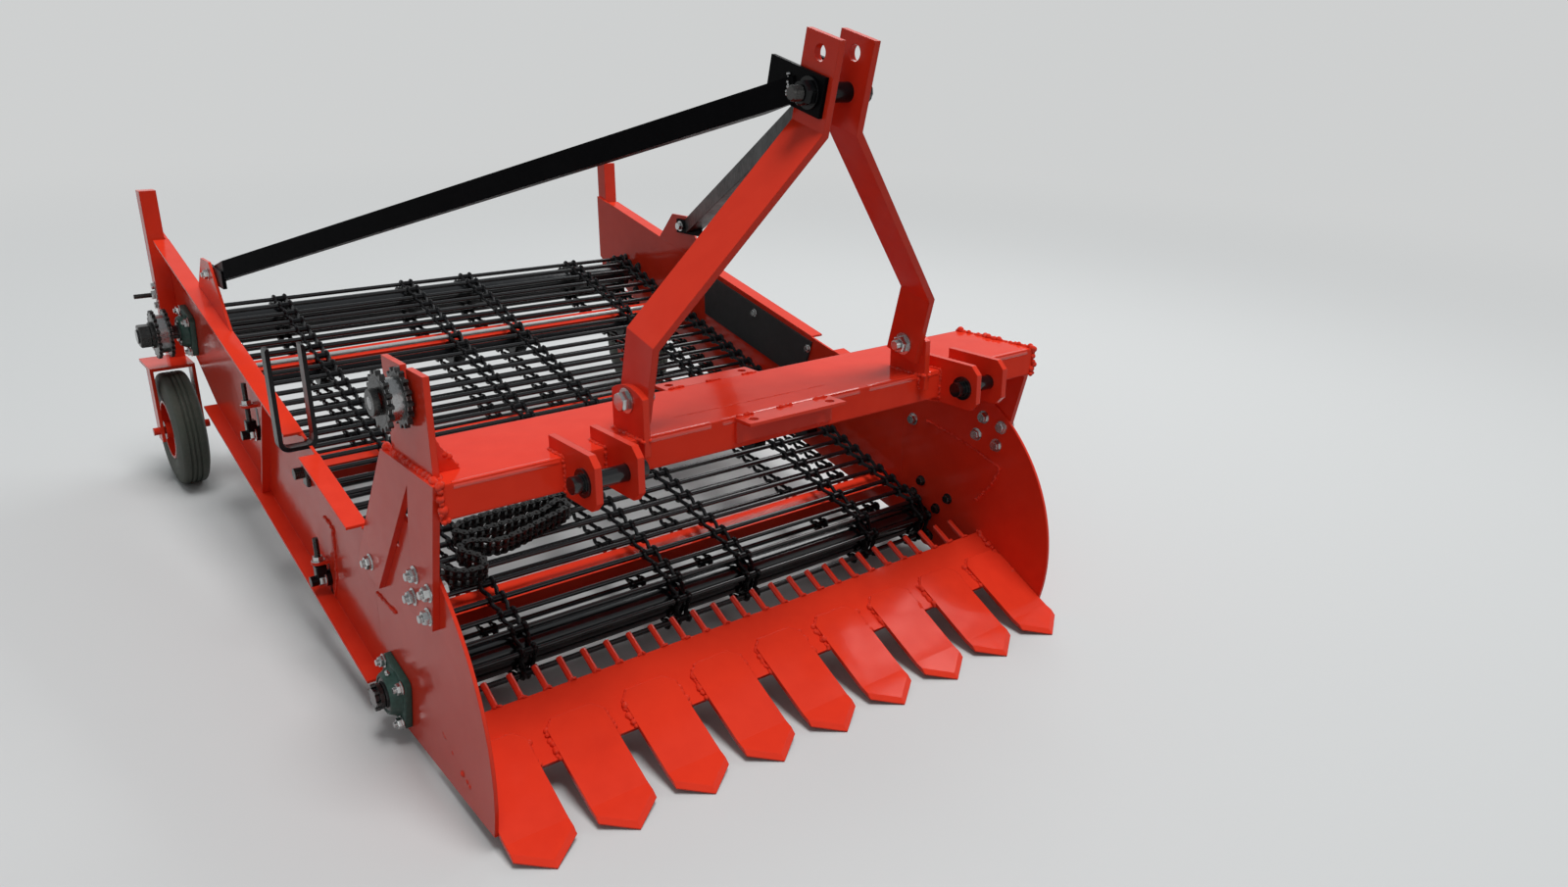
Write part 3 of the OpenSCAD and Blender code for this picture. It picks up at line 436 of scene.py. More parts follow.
# ---------------------------------------------------------------- trees that repeat parts
def new_growth(name, inputs):
    """Empty geometry tree with named inputs and a material."""
    return new_tree(
        name, "GeometryNodeTree", {"Geometry": "Geometry", **inputs, "Material": "Material"},
        {"Geometry": "Geometry"},
    )


def close_tree(tree, instances, given, result):
    """Ends a tree in Realize Instances and Set Material, and returns it."""
    real = add_node(tree, "GeometryNodeRealizeInstances", {"Geometry": instances})
    painted = add_node(tree, "GeometryNodeSetMaterial", {
        "Geometry": real.outputs["Geometry"], "Material": given["Material"],
    })
    fill(tree, result, {"Geometry": painted.outputs["Geometry"]})
    return tree


def put_on_points(tree, inputs):
    return add_node(tree, "GeometryNodeInstanceOnPoints", inputs).outputs["Instances"]


def named_vector(tree, name):
    kind = "GeometryNodeInputNamedAttribute"
    return add_node(tree, kind, {"Name": name}, data_type="FLOAT_VECTOR").outputs["Attribute"]


def path_points(tree, given, mode, spacing):
    """Even points along the edges given to a tree."""
    path = add_node(tree, "GeometryNodeMeshToCurve", {"Mesh": given["Geometry"]})
    return add_node(tree, "GeometryNodeResampleCurve", {
        "Curve": path.outputs["Curve"], **spacing,
    }, mode=mode).outputs["Curve"]


def make_places_tree():
    """A part on each place, its Z towards "facing", its X towards "sideways", scaled by "size"."""
    tree, given, result = new_growth("parts_on_places", {"Part": "Object"})
    part = add_node(tree, "GeometryNodeObjectInfo", {"Object": given["Part"]})
    face = add_node(tree, "FunctionNodeAlignRotationToVector", {
        "Vector": named_vector(tree, "facing"),
    }, axis="Z")
    turn = add_node(tree, "FunctionNodeAlignRotationToVector", {
        "Rotation": face.outputs[0], "Vector": named_vector(tree, "sideways"),
    }, axis="X", pivot_axis="Z")
    copies = put_on_points(tree, {
        "Points": given["Geometry"], "Instance": part.outputs["Geometry"],
        "Rotation": turn.outputs[0], "Scale": named_vector(tree, "size"),
    })
    return close_tree(tree, copies, given, result)


def make_bead_tree():
    """Weld bead: overlapping drops along each path, a little uneven in place and size."""
    tree, given, result = new_growth("weld_bead", {
        "Pitch": "Float", "Radius": "Float", "Unevenness": "Float", "Seed": "Int",
    })
    drop = add_node(tree, "GeometryNodeMeshIcoSphere", {
        "Radius": given["Radius"], "Subdivisions": 2,
    })
    scale = add_node(tree, "FunctionNodeRandomValue", {
        "Seed": given["Seed"], 2: calc(tree, "SUBTRACT", 1.0, given["Unevenness"]),
        3: calc(tree, "ADD", 1.0, given["Unevenness"]),
    }, data_type="FLOAT")
    drops = put_on_points(tree, {
        "Points": path_points(tree, given, "LENGTH", {"Length": given["Pitch"]}),
        "Instance": drop.outputs["Mesh"], "Scale": scale.outputs[1],
    })
    reach = calc(tree, "MULTIPLY", given["Radius"], given["Unevenness"])
    back = calc(tree, "MULTIPLY", reach, -1.0)
    low, high = (
        add_node(tree, "ShaderNodeCombineXYZ", {0: far, 1: far, 2: far}).outputs[0]
        for far in (back, reach)
    )
    shift = add_node(tree, "FunctionNodeRandomValue", {
        "Seed": given["Seed"], 0: low, 1: high,
    }, data_type="FLOAT_VECTOR")
    moved = add_node(tree, "GeometryNodeTranslateInstances", {
        "Instances": drops, "Translation": shift.outputs[0],
    })
    return close_tree(tree, moved.outputs["Instances"], given, result)


def make_rods_tree():
    """Round rods across a closed path, evenly spaced along it."""
    tree, given, result = new_growth("rods_across_path", {
        "Rods": "Int", "Radius": "Float", "Width": "Float",
    })
    rod = add_node(tree, "GeometryNodeMeshCylinder", {
        "Vertices": 14, "Radius": given["Radius"], "Depth": given["Width"],
    })
    lying = add_node(tree, "GeometryNodeTransform", {
        "Geometry": rod.outputs["Mesh"], "Rotation": (0.0, math.pi / 2, 0.0),
    })
    rods = put_on_points(tree, {
        "Points": path_points(tree, given, "COUNT", {"Count": given["Rods"]}),
        "Instance": lying.outputs["Geometry"],
    })
    return close_tree(tree, rods, given, result)


PARTS_ON_PLACES = make_places_tree()
WELD_BEAD = make_bead_tree()
RODS_ACROSS = make_rods_tree()


def grow(name, mesh, tree, values, smooth_angle=40.0):
    """Runs a tree on a mesh in the working frame and keeps its result as a plain piece."""
    seed = link_object(name + "_path", mesh)
    modifier = seed.modifiers.new("grow", "NODES")
    modifier.node_group = tree
    sockets = {s.name: s.identifier for s in tree.interface.items_tree if s.in_out == "INPUT"}
    for label, value in values.items():
        modifier[sockets[label]] = value
    ready = seed.evaluated_get(bpy.context.evaluated_depsgraph_get())
    grown = bpy.data.meshes.new_from_object(ready)
    grown.name = name
    seed.modifiers.clear()
    bpy.data.objects.remove(seed)
    return show(name, grown, "digger", smooth_angle)


def path_mesh(name, paths, closed=False):
    """Mesh of bare edges along one or more paths."""
    points, edges = [], []
    for path in paths:
        first = len(points)
        points += [tuple(p) for p in path]
        edges += [(first + i, first + i + 1) for i in range(len(path) - 1)]
        if closed:
            edges.append((first + len(path) - 1, first))
    mesh = bpy.data.meshes.new(name)
    mesh.from_pydata(points, edges, [])
    return mesh


def repeat(name, part, places, material):
    """Copies of a part as one piece; places: (point, facing, sideways, size)."""
    mesh = bpy.data.meshes.new(name + "_places")
    mesh.from_pydata([tuple(place[0]) for place in places], [], [])
    for key, column in (("facing", 1), ("sideways", 2), ("size", 3)):
        layer = mesh.attributes.new(key, "FLOAT_VECTOR", "POINT")
        for item, place in zip(layer.data, places):
            item.vector = place[column]
    return grow(name, mesh, PARTS_ON_PLACES, {"Part": part, "Material": material})


def loose_part(name, bm):
    """A part in its own frame, to be repeated; removed once its copies are made."""
    return link_object(name, mesh_of(name, bm))


def weld(name, paths, radius, unevenness, seed, ripple=0.95, bare=False):
    """Bead of drops along the paths; a ripple of more than 1 leaves the drops standing apart."""
    return grow(name, path_mesh(name + "_path", paths), WELD_BEAD, {
        "Pitch": radius * ripple, "Radius": radius, "Unevenness": unevenness, "Seed": seed,
        "Material": MACHINED if bare else RED,
    }, 60.0)


# ---------------------------------------------------------------- rod web
WEB_DIRECTION = Vector((0, DRIVE_Y - ROLLER_Y, DRIVE_Z - ROLLER_Z))
WEB_RUN = WEB_DIRECTION.length
WEB_ALONG = WEB_DIRECTION.normalized()
WEB_UP = Vector((0, -WEB_ALONG.z, WEB_ALONG.y))
ROLLER = Vector((0, ROLLER_Y, ROLLER_Z))
WEB_LENGTH = 2 * WEB_RUN + 2 * math.pi * WEB_R
ROD_PITCH = WEB_LENGTH / ROD_COUNT
WIRE_R, HOOK_NEAR, HOOK_FAR, EYE_R, EYE_CORE = 0.0045, 0.0085, 0.0135, 0.0085, 0.0075


def on_web(x, along, up):
    """Point of the web's own frame: across, along its upper run from the roller, and above it."""
    return ROLLER + x * RIGHT + along * WEB_ALONG + up * WEB_UP


def web_point(s):
    """Point of the rod line at distance s round the loop."""
    half = math.pi * WEB_R
    s %= WEB_LENGTH
    if s < WEB_RUN:
        return on_web(0, s, WEB_R)
    if s < WEB_RUN + half:
        a = (s - WEB_RUN) / WEB_R
        return on_web(0, WEB_RUN + WEB_R * math.sin(a), WEB_R * math.cos(a))
    if s < 2 * WEB_RUN + half:
        return on_web(0, 2 * WEB_RUN + half - s, -WEB_R)
    a = (s - 2 * WEB_RUN - half) / WEB_R
    return on_web(0, -WEB_R * math.sin(a), -WEB_R * math.cos(a))


def hook_part():
    """The two bent wires of one joint, with their eyes round the next rod."""
    bm = bmesh.new()
    half = ROD_PITCH / 2
    path = [
        (HOOK_NEAR, 0, -half), (HOOK_NEAR, 0, -ROD_PITCH * 0.2),
        (HOOK_FAR, 0, ROD_PITCH * 0.1), (HOOK_FAR, 0, half),
    ]
    for side in SIDES:
        add_tube(bm, [(side * x, y, z) for x, y, z in path], WIRE_R, 8)
        eye = [(EYE_R * math.sin(a), half + EYE_R * math.cos(a)) for a in turns(12)]
        add_tube(bm, [(side * HOOK_FAR, y, z) for y, z in eye], WIRE_R, 6, closed=True)
    add_round(bm, (-HOOK_FAR, 0, half), (HOOK_FAR, 0, half), EYE_CORE, sides=10)
    return loose_part("rod_hook", bm)


def make_web():
    """Rods round the whole loop, and the hook of each rod round its neighbour in six rows."""
    count = ROD_COUNT * 4
    loop = [web_point(i * WEB_LENGTH / count) for i in range(count)]
    rods = grow("web_rods", path_mesh("web_loop", [loop], closed=True), RODS_ACROSS, {
        "Rods": ROD_COUNT, "Radius": ROD_R, "Width": 2 * WEB_HALF, "Material": BLACK_ROUND,
    })
    places = []
    for row in JOINT_ROWS:
        for side in SIDES:
            for i in range(ROD_COUNT):
                here, there = web_point(i * ROD_PITCH), web_point((i + 1) * ROD_PITCH)
                middle = (here + there) / 2 + side * row * RIGHT
                places.append((middle, (there - here).normalized(), RIGHT, ONE))
    part = hook_part()
    hooks = repeat("web_hooks", part, places, BLACK)
    bpy.data.objects.remove(part)
    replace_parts(rods, "web")
    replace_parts(hooks, "web_joints")
    worn = web_point(WORN_ROD * ROD_PITCH)
    bm = bmesh.new()
    add_round(bm, worn - WEB_HALF * RIGHT, worn + WEB_HALF * RIGHT, ROD_R + 0.0003)
    bright = piece("worn_rod", bm, WORN)
    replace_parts(bright, "web")


make_web()


# ---------------------------------------------------------------- drive chain
CHAIN_PITCH, CHAIN_ROW = 0.0159, 0.0095
LINK_HALF, LINK_WAIST, LINK_T = 0.0070, 0.0050, 0.0018
LINK_ROLLER_R, LINK_PIN_R = 0.0050, 0.0026
OUTER_GAP, INNER_GAP = 0.0022, 0.0046
# The folds from the web's left edge and from the roller's axis, as the node drive_chain has them
CHAIN_FOLDS = (
    (0.467, 0.306), (0.387, 0.297), (0.257, 0.294), (0.190, 0.286), (0.190, 0.256), (0.277, 0.254),
    (0.359, 0.260), (0.411, 0.282), (0.420, 0.256), (0.342, 0.230), (0.249, 0.208), (0.193, 0.228),
    (0.164, 0.212), (0.192, 0.172), (0.181, 0.145), (0.139, 0.150), (0.109, 0.180),
)


def smooth_path(points, step):
    """Even steps along the smooth curve through a few points."""
    points = [Vector((x - WEB_HALF, y, 0)) for x, y in points]
    last = len(points) - 1
    fine = []
    for i in range(last):
        before, after = points[max(i - 1, 0)], points[min(i + 2, last)]
        a, b = points[i], points[i + 1]
        for k in range(12):
            t = k / 12
            fine.append(0.5 * (
                2 * a + (b - before) * t + (2 * before - 5 * a + 4 * b - after) * t ** 2
                + (3 * a - before - 3 * b + after) * t ** 3
            ))
    fine.append(points[-1])
    even, travelled = [fine[0]], 0.0
    for a, b in zip(fine, fine[1:]):
        travelled += (b - a).length
        while travelled >= step:
            travelled -= step
            even.append(b - (b - a).normalized() * travelled)
    return even


def chain_link(outer):
    """Inner or outer duplex link on its side: figure-of-eight plates with rollers or pins."""
    pin = CHAIN_PITCH / 2
    gap = OUTER_GAP if outer else INNER_GAP
    outline = (
        arc((pin, 0), LINK_HALF, -90, 90, 6) + [(0, LINK_WAIST)]
        + arc((-pin, 0), LINK_HALF, 90, 270, 6) + [(0, -LINK_WAIST)]
    )
    bm = bmesh.new()
    for row in (0, 1):
        base = 0.002 + row * 2 * CHAIN_ROW
        low, high = base + gap, base + 2 * CHAIN_ROW - gap
        for z in (low - LINK_T, high):
            add_prism(bm, [(x, y, z) for x, y in outline], (0, 0, LINK_T))
        if not outer:
            for x in (-pin, pin):
                add_round(bm, (x, 0, low), (x, 0, high), LINK_ROLLER_R, sides=10)
    if outer:
        for x in (-pin, pin):
            add_round(bm, (x, 0, 0.0005), (x, 0, 0.0035 + 4 * CHAIN_ROW), LINK_PIN_R, sides=8)
    return loose_part("outer_link" if outer else "inner_link", bm)


def make_drive_chain():
    """Duplex roller chain lying on its side on the rods, folded to and fro."""
    steps = smooth_path(CHAIN_FOLDS, CHAIN_PITCH)
    for outer, name in enumerate(("chain_inner_links", "chain_outer_links")):
        places = []
        for i in range(outer, len(steps) - 1, 2):
            middle = (steps[i] + steps[i + 1]) / 2
            along = (steps[i + 1] - steps[i]).normalized()
            point = on_web(middle.x, middle.y, WEB_R + ROD_R)
            places.append((point, WEB_UP, along.x * RIGHT + along.y * WEB_ALONG, ONE))
        part = chain_link(outer)
        links = repeat(name, part, places, STEEL)
        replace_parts(links, "drive_chain")
        bpy.data.objects.remove(part)


make_drive_chain()


# ---------------------------------------------------------------- bolts and nuts
# Hexagon radii by thread
M12, M14, M20 = 0.0105, 0.0120, 0.0170
LEG_BOLTS = ((0.340, 0.358), (0.119, 0.417), (0.137, 0.372), (0.066, 0.406), (0.078, 0.361))
SHIELD_BOLTS = ((0.305, 0.209), (0.216, 0.189))
FLAP_BOLTS_Y = (0.735, 0.970, 1.200)
POST_X, POST_Y, POST_BOLTS_Z, POST_CLAMP_Z = 0.690, 1.8155, (0.6195, 0.568), 0.5965
CLAMP_END_X = 0.742
PLATE_STUD_Y, PLATE_STUD_Z, PLATE_STUD_OUT = 0.715, 0.412, 0.026
PAD_OUT_X, PAD_Y, PAD_Z = 0.659, (0.700, 0.728), (0.384, 0.424)


def bolt_part(name, stud):
    """Washer and chamfered hexagon with corners at distance 1; a nut shows its bolt."""
    bm = bmesh.new()
    add_round(bm, (0, 0, 0), (0, 0, 0.16), 1.25, sides=24)
    low, high = (
        [bm.verts.new((math.cos(a), math.sin(a), z)) for a in turns(6)] for z in (0.16, 0.82)
    )
    crown = [bm.verts.new((0.86 * math.cos(a), 0.86 * math.sin(a), 0.94)) for a in turns(12)]
    for k in range(6):
        m = (k + 1) % 6
        bm.faces.new((low[k], low[m], high[m], high[k]))
        bm.faces.new((high[k], high[m], crown[(2 * k + 2) % 12], crown[2 * k + 1], crown[2 * k]))
    bm.faces.new(crown)
    bm.faces.new(low[::-1])
    if stud:
        add_thread(bm, (0, 0, 0.94), 0.1 * UP, 5, 0.50, 0.56, 16)
    return loose_part(name, bm)


NUT = bolt_part("nut", True)
HEAD = bolt_part("bolt_head", False)


def fasten(name, part, places, material=ZINC):
    """places: (point, facing, hexagon radius, turn in degrees)."""
    full = []
    for point, facing, radius, turn in places:
        side, other = frame_along(Vector(facing), UP)
        a = math.radians(turn)
        sideways = math.cos(a) * side + math.sin(a) * other
        full.append((point, facing, sideways, (radius, radius, radius)))
    return repeat(name, part, full, material)


def both_sides(x, points, radius, turn=0, step=17, out=1):
    """Mirrored places that face outwards, or inwards with -1, each turned a little further."""
    return [
        ((side * x, y, z), out * side * RIGHT, radius, turn + n * step)
        for side in SIDES for n, (y, z) in enumerate(points)
    ]


def bearing_bolts():
    """The four bolts of each flange bearing, square to the side plate's slope."""
    c, s = 0.040 * math.cos(RAIL_SLOPE), 0.040 * math.sin(RAIL_SLOPE)
    return [
        (y + a * c - b * s, z + a * s + b * c)
        for _, _, y, z in BEARINGS
        for a, b in ((-1, -1), (1, -1), (1, 1), (-1, 1))
    ]


def make_fasteners():
    mast_foot = [(MAST_FOOT_Y, MAST_FOOT_Z)]
    strut_foot = [(STRUT_FOOT_Y, rail_top(STRUT_FOOT_Y) + STRUT_FOOT_RISE)]
    flap = [(y, rail_top(y) - 0.036) for y in FLAP_BOLTS_Y]
    bearing = bearing_bolts()
    fasten("leg_nuts", NUT, both_sides(END_PLATE_OUT, LEG_BOLTS, M14))
    fasten("leg_bolt_heads", HEAD, both_sides(PLATE_IN, LEG_BOLTS, M14, step=23, out=-1))
    fasten("mast_foot_nuts", NUT, both_sides(MAST_FOOT_X - LUG_T, mast_foot, M20, 12, out=-1))
    fasten("mast_foot_heads", HEAD, both_sides(MAST_FOOT_X + LUG_T, mast_foot, M20, 22))
    strut_in = PLATE_IN - STRUT_PLATE_T
    fasten("strut_foot_heads", HEAD, both_sides(strut_in, strut_foot, M14, 8, out=-1))
    fasten("strut_foot_nuts", NUT, both_sides(PLATE_OUT, strut_foot, M12, 40))
    fasten("bearing_nuts", NUT, both_sides(PLATE_OUT + 0.014, bearing, M12))
    inner = (
        both_sides(PLATE_IN, bearing, M12, step=31, out=-1)
        + both_sides(PLATE_IN, SHIELD_BOLTS, M12, step=40, out=-1)
    )
    fasten("inner_bolt_heads", HEAD, inner, STEEL)
    fasten("flap_bolt_heads", HEAD, both_sides(PLATE_IN - 0.0052, flap, 0.0090, step=27, out=-1))
    post = both_sides(POST_X, [(POST_Y, z) for z in POST_BOLTS_Z], 0.0090, step=33)
    fasten("post_bolts", HEAD, post + both_sides(POST_X, [(POST_Y, POST_CLAMP_Z)], 0.0125, 10))


def make_clamp_bolts():
    """Clamp screws of the wheel posts, and a stud with its pad on each side plate."""
    bm = bmesh.new()
    for side in SIDES:
        clamp, tip = ((side * x, POST_Y, POST_CLAMP_Z) for x in (POST_X, CLAMP_END_X))
        add_round(bm, clamp, tip, 0.0060)
        foot = Vector((side * PLATE_OUT, PLATE_STUD_Y, PLATE_STUD_Z))
        add_round(bm, foot, foot + side * PLATE_STUD_OUT * RIGHT, 0.0115, sides=24)
        corner, opposite = zip((side * PLATE_OUT, side * PAD_OUT_X), PAD_Y, PAD_Z)
        add_block(bm, corner, opposite, 0.0015)
    piece("clamp_bolts", bm, STEEL)


make_fasteners()
make_clamp_bolts()


# ---------------------------------------------------------------- sprockets
ROW_W, ROW_STEP, TOOTH_RISE = 0.008, 0.028, 0.0065
SPINDLE_CAP_X, HUB_WASHER_X, HUB_WASHER_T = -0.7032, -0.7395, 0.0070


def add_tooth_row(bm, x, y, z, teeth, tip):
    """One row of teeth: rounded gaps between blunt, slightly narrowed tips."""
    root, share = tip - TOOTH_RISE, 16 / teeth
    flank = [(0.052, tip), (0.092, root + 0.0012), (0.128, root)]
    tooth = [(-turn, radius) for turn, radius in reversed(flank)] + flank
    outline = []
    for middle in turns(teeth):
        for turn, radius in tooth:
            a = middle + turn * share
            outline.append((x, y + radius * math.cos(a), z + radius * math.sin(a)))
    add_prism(bm, outline, (ROW_W, 0, 0))


def make_sprocket(node, body, place, bore, teeth, tip):
    """Duplex sprocket from its left face: dark rows, and a machined hub between them."""
    x, y, z = place
    disc, rim = tip - 0.0085, tip - TOOTH_RISE
    rows, hub, chamfers = bmesh.new(), bmesh.new(), bmesh.new()
    for start in (x, x + ROW_STEP):
        add_tooth_row(rows, start, y, z, teeth, tip)
        add_lathe(rows, (start, y, z), RIGHT, [
            (bore, -0.0004), (disc - 0.002, -0.0004), (disc, 0.0012), (disc, ROW_W - 0.0012),
            (disc - 0.002, ROW_W + 0.0004), (bore, ROW_W + 0.0004),
        ], 48, closed=True)
        for edge in (0.0004, ROW_W - 0.0016):
            add_ring(chamfers, (start + edge, y, z), RIGHT, rim - 0.002, rim + 0.0003, 0.0012)
    add_ring(hub, (x + ROW_W, y, z), RIGHT, bore, tip - 0.013, ROW_STEP - ROW_W)
    forms = (("rows", rows, STEEL), ("hub", hub, MACHINED), ("chamfers", chamfers, MACHINED))
    for label, bm, material in forms:
        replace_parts(piece(node + "_" + label, bm, material, body, 30.0), node)


def make_sprockets():
    loose, driven = (-0.692, SPINDLE_Y, SPINDLE_Z), (-0.739, DRIVE_Y, DRIVE_Z)
    make_sprocket("loose_sprocket", "loose_sprocket", loose, 0.0118, 16, 0.046)
    make_sprocket("drive_sprocket", "digger", driven, 0.0178, 22, 0.061)
    cap, end, hub = bmesh.new(), bmesh.new(), bmesh.new()
    add_lathe(cap, (SPINDLE_CAP_X, SPINDLE_Y, SPINDLE_Z), LEFT, [
        (0.0207, -0.0085), (0.0207, 0.0004), (0.0197, 0.0014),
        (0.0112, 0.0014), (0.0104, 0.0006), (0.0004, 0.0006),
    ], 40)
    piece("spindle_cap_cover", cap, STEEL)
    add_lathe(end, (SPINDLE_CAP_X, SPINDLE_Y, SPINDLE_Z), LEFT, [
        (0.0100, 0.0), (0.0100, 0.0014), (0.0088, 0.0020), (0.0004, 0.0020),
    ], 32)
    piece("spindle_end", end, MACHINED)
    add_ring(hub, (HUB_WASHER_X, DRIVE_Y, DRIVE_Z), LEFT, 0.0178, 0.0330, HUB_WASHER_T)
    add_lathe(hub, (HUB_WASHER_X - HUB_WASHER_T, DRIVE_Y, DRIVE_Z), LEFT, [
        (0.0200, 0.0), (0.0290, 0.0), (0.0305, 0.0015),
        (0.0305, 0.0235), (0.0280, 0.0258), (0.0200, 0.0258),
    ], 6, closed=True)
    piece("drive_hub_nut", hub, STEEL, smooth_angle=20.0)


make_sprockets()


# ---------------------------------------------------------------- bearings
FLANGE_HALF, FLANGE_CORNER_R = 0.053, 0.014


def add_flange_plate(bm, side, y, z):
    """Cast plate with round corners, thicker towards its middle."""
    c, s = math.cos(RAIL_SLOPE), math.sin(RAIL_SLOPE)
    rings = []
    for inset, out in ((0.0, 0.0), (0.0, 0.010), (0.0015, 0.0125), (0.012, 0.0135)):
        corner = FLANGE_HALF - inset - FLANGE_CORNER_R
        outline = []
        for u, v, start in ((1, 1, 0), (-1, 1, 90), (-1, -1, 180), (1, -1, 270)):
            outline += arc((u * corner, v * corner), FLANGE_CORNER_R, start, start + 90, 4)
        x = side * (PLATE_OUT + 0.0005 + out)
        rings.append([(x, y + u * c - v * s, z + u * s + v * c) for u, v in outline])
    join_rings(bm, rings)


def make_bearings():
    for label, node, y, z in BEARINGS:
        cast, races, nipples = bmesh.new(), bmesh.new(), bmesh.new()
        for side in SIDES:
            out = side * RIGHT
            foot = (side * PLATE_OUT, y, z)
            add_flange_plate(cast, side, y, z)
            add_lathe(cast, foot, out, [
                (0.0180, 0.010), (0.0470, 0.010), (0.0440, 0.0170), (0.0400, 0.0235),
                (0.0375, 0.0290), (0.0355, 0.0310), (0.0325, 0.0310), (0.0315, 0.0285),
                (0.0180, 0.0285),
            ], 48, closed=True)
            add_lathe(races, foot, out, [
                (0.0176, 0.020), (0.0300, 0.020), (0.0300, 0.0293), (0.0285, 0.0300),
                (0.0245, 0.0296), (0.0240, 0.0335), (0.0176, 0.0340),
            ], 40, closed=True)
            tip = (side * (PLATE_OUT + 0.022), y - 0.010, z + 0.041)
            add_lathe(nipples, tip, (side * 0.35, -0.2, 1), [
                (0.0042, -0.004), (0.0042, 0.003), (0.0026, 0.0035), (0.0026, 0.0065),
                (0.0034, 0.0080), (0.0020, 0.0105),
            ], 12)
        name = label + "_bearing"
        castings = piece(name + "_castings", cast, GREEN, smooth_angle=32.0)
        rings = piece(name + "_races", races, STEEL, smooth_angle=32.0)
        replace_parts(castings, node)
        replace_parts(rings, node)
        piece(label + "_grease_nipples", nipples, ZINC)


def make_slotted_nuts():
    """Ring nuts on the roller's ends, with six round slots each."""
    bm = bmesh.new()
    for side in SIDES:
        foot = Vector((side * (PLATE_OUT + 0.0345), ROLLER_Y, ROLLER_Z))
        add_lathe(bm, foot, side * RIGHT, [
            (0.0178, 0.0), (0.0225, 0.0), (0.0235, 0.0010), (0.0235, 0.0080), (0.0178, 0.0080),
        ], 36, closed=True)
        for a in turns(6):
            slot = Vector((0, 0.0206 * math.cos(a + 0.2), 0.0206 * math.sin(a + 0.2)))
            near, far = (foot + slot + side * out * RIGHT for out in (0.0075, 0.0155))
            add_round(bm, near, far, 0.0045, 0.0038, 8)
    piece("roller_slotted_nuts", bm, STEEL)


make_bearings()
make_slotted_nuts()


# ---------------------------------------------------------------- adjusters of the web
# Each one: place along the side plate, its tab below the plate's edge, its bolt below the tab
ADJUSTERS = ((0.661, 0.229, 0.041), (1.066, 0.103, 0.068))
STUD_OUT, TAB_HALF, TAB_R, TAB_T, STUD_PITCH = 0.018, 0.014, 0.0138, 0.006, 0.003


def make_adjusters():
    """For each place: tab, nut and stud, guide block, a thin black sheet as painted shade of the
    slot, and the bolt that the stud sets.
    """
    tabs, studs, blocks, slots, nuts = bmesh.new(), bmesh.new(), bmesh.new(), bmesh.new(), []
    for side in SIDES:
        plate, x = side * PLATE_OUT, side * (PLATE_OUT + STUD_OUT)
        for y, drop, bolt_drop in ADJUSTERS:
            z = rail_top(y) - drop
            bolt_z = z - bolt_drop
            outline = [(-STUD_OUT, -TAB_HALF), (-STUD_OUT, TAB_HALF)]
            outline += arc((0, 0), TAB_R, 90, -90, 8)
            tab = [(x + side * u, y + v, z - TAB_T) for u, v in outline]
            add_prism(tabs, tab, (0, 0, TAB_T))
            add_round(studs, (x, y, bolt_z + 0.010), (x, y, z + 0.048), 0.0050, sides=14)
            low = bolt_z + 0.012
            while low < z + 0.044:
                if not z - 0.008 < low < z + 0.010:
                    add_thread(studs, (x, y, low), STUD_PITCH * UP, 1, 0.0048, 0.0059, 12)
                low += STUD_PITCH
            add_block(
                blocks, (plate + side * 0.006, y - 0.011, bolt_z + 0.006),
                (plate + side * 0.027, y + 0.011, bolt_z + 0.032), 0.002,
            )
            bolt = Vector((plate, y, bolt_z))
            out = side * RIGHT
            for near, far, r, sides in ((0.0, 0.010, 0.0165, 28), (0.020, 0.038, 0.0105, 24)):
                add_round(blocks, bolt + near * out, bolt + far * out, r, sides=sides)
            # Slot: a thin black sheet on the side plate, painted shade where the slot opens.
            add_block(
                slots, (plate, y - 0.007, bolt_z - 0.042),
                (plate + side * 0.0006, y + 0.007, z - 0.012), 0,
            )
            nuts.append(((x, y, z), UP, M12, 20))
            nuts.append((bolt + 0.010 * out, out, 0.0135, 34))
    made = [
        piece("adjuster_tabs", tabs, RED),
        piece("adjuster_studs", studs, STEEL),
        piece("adjuster_blocks", blocks, BLACK),
        # Black sheets of painted shade where the slots open.
        piece("adjuster_slots", slots, BLACK),
        fasten("adjuster_nuts", HEAD, nuts),
    ]
    for item in made:
        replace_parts(item, "adjusters")


make_adjusters()


# ---------------------------------------------------------------- bar for the chain
BAR_X, BAR_Y, BAR_UP, BAR_T, BAR_BEND = (-0.704, -0.632), (0.676, 0.704), 0.203, 0.008, 0.014
BAR_OUTER_R, BAR_NOSE = 0.018, (0.003, 0.004)


def make_chain_bar():
    """Flat bar bent to an open U with round corners."""
    bottom = rail_top(BAR_Y[0]) - 0.008
    top = bottom + BAR_UP
    middle, reach = sum(BAR_X) / 2, BAR_T + BAR_BEND
    half = [(BAR_X[0], top - BAR_NOSE[1]), (BAR_X[0] + BAR_NOSE[0], top), (BAR_X[0] + BAR_T, top)]
    half += arc((BAR_X[0] + reach, bottom + reach), BAR_BEND, 180, 270, 5)
    outline = half + [(2 * middle - x, z) for x, z in reversed(half)]
    outline += arc((BAR_X[1] - BAR_OUTER_R, bottom + BAR_OUTER_R), BAR_OUTER_R, 0, -90, 5)
    outline += arc((BAR_X[0] + BAR_OUTER_R, bottom + BAR_OUTER_R), BAR_OUTER_R, -90, -180, 5)
    bm = bmesh.new()
    add_prism(bm, [(x, BAR_Y[0], z) for x, z in outline], (0, BAR_Y[1] - BAR_Y[0], 0))
    bar = piece("bent_chain_bar", bm, BLACK)
    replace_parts(bar, "chain_bracket")


make_chain_bar()


# ---------------------------------------------------------------- hitch pins and mast bolt
PIN_WASHER_OUT, PIN_END_OUT = 0.0424, 0.0450


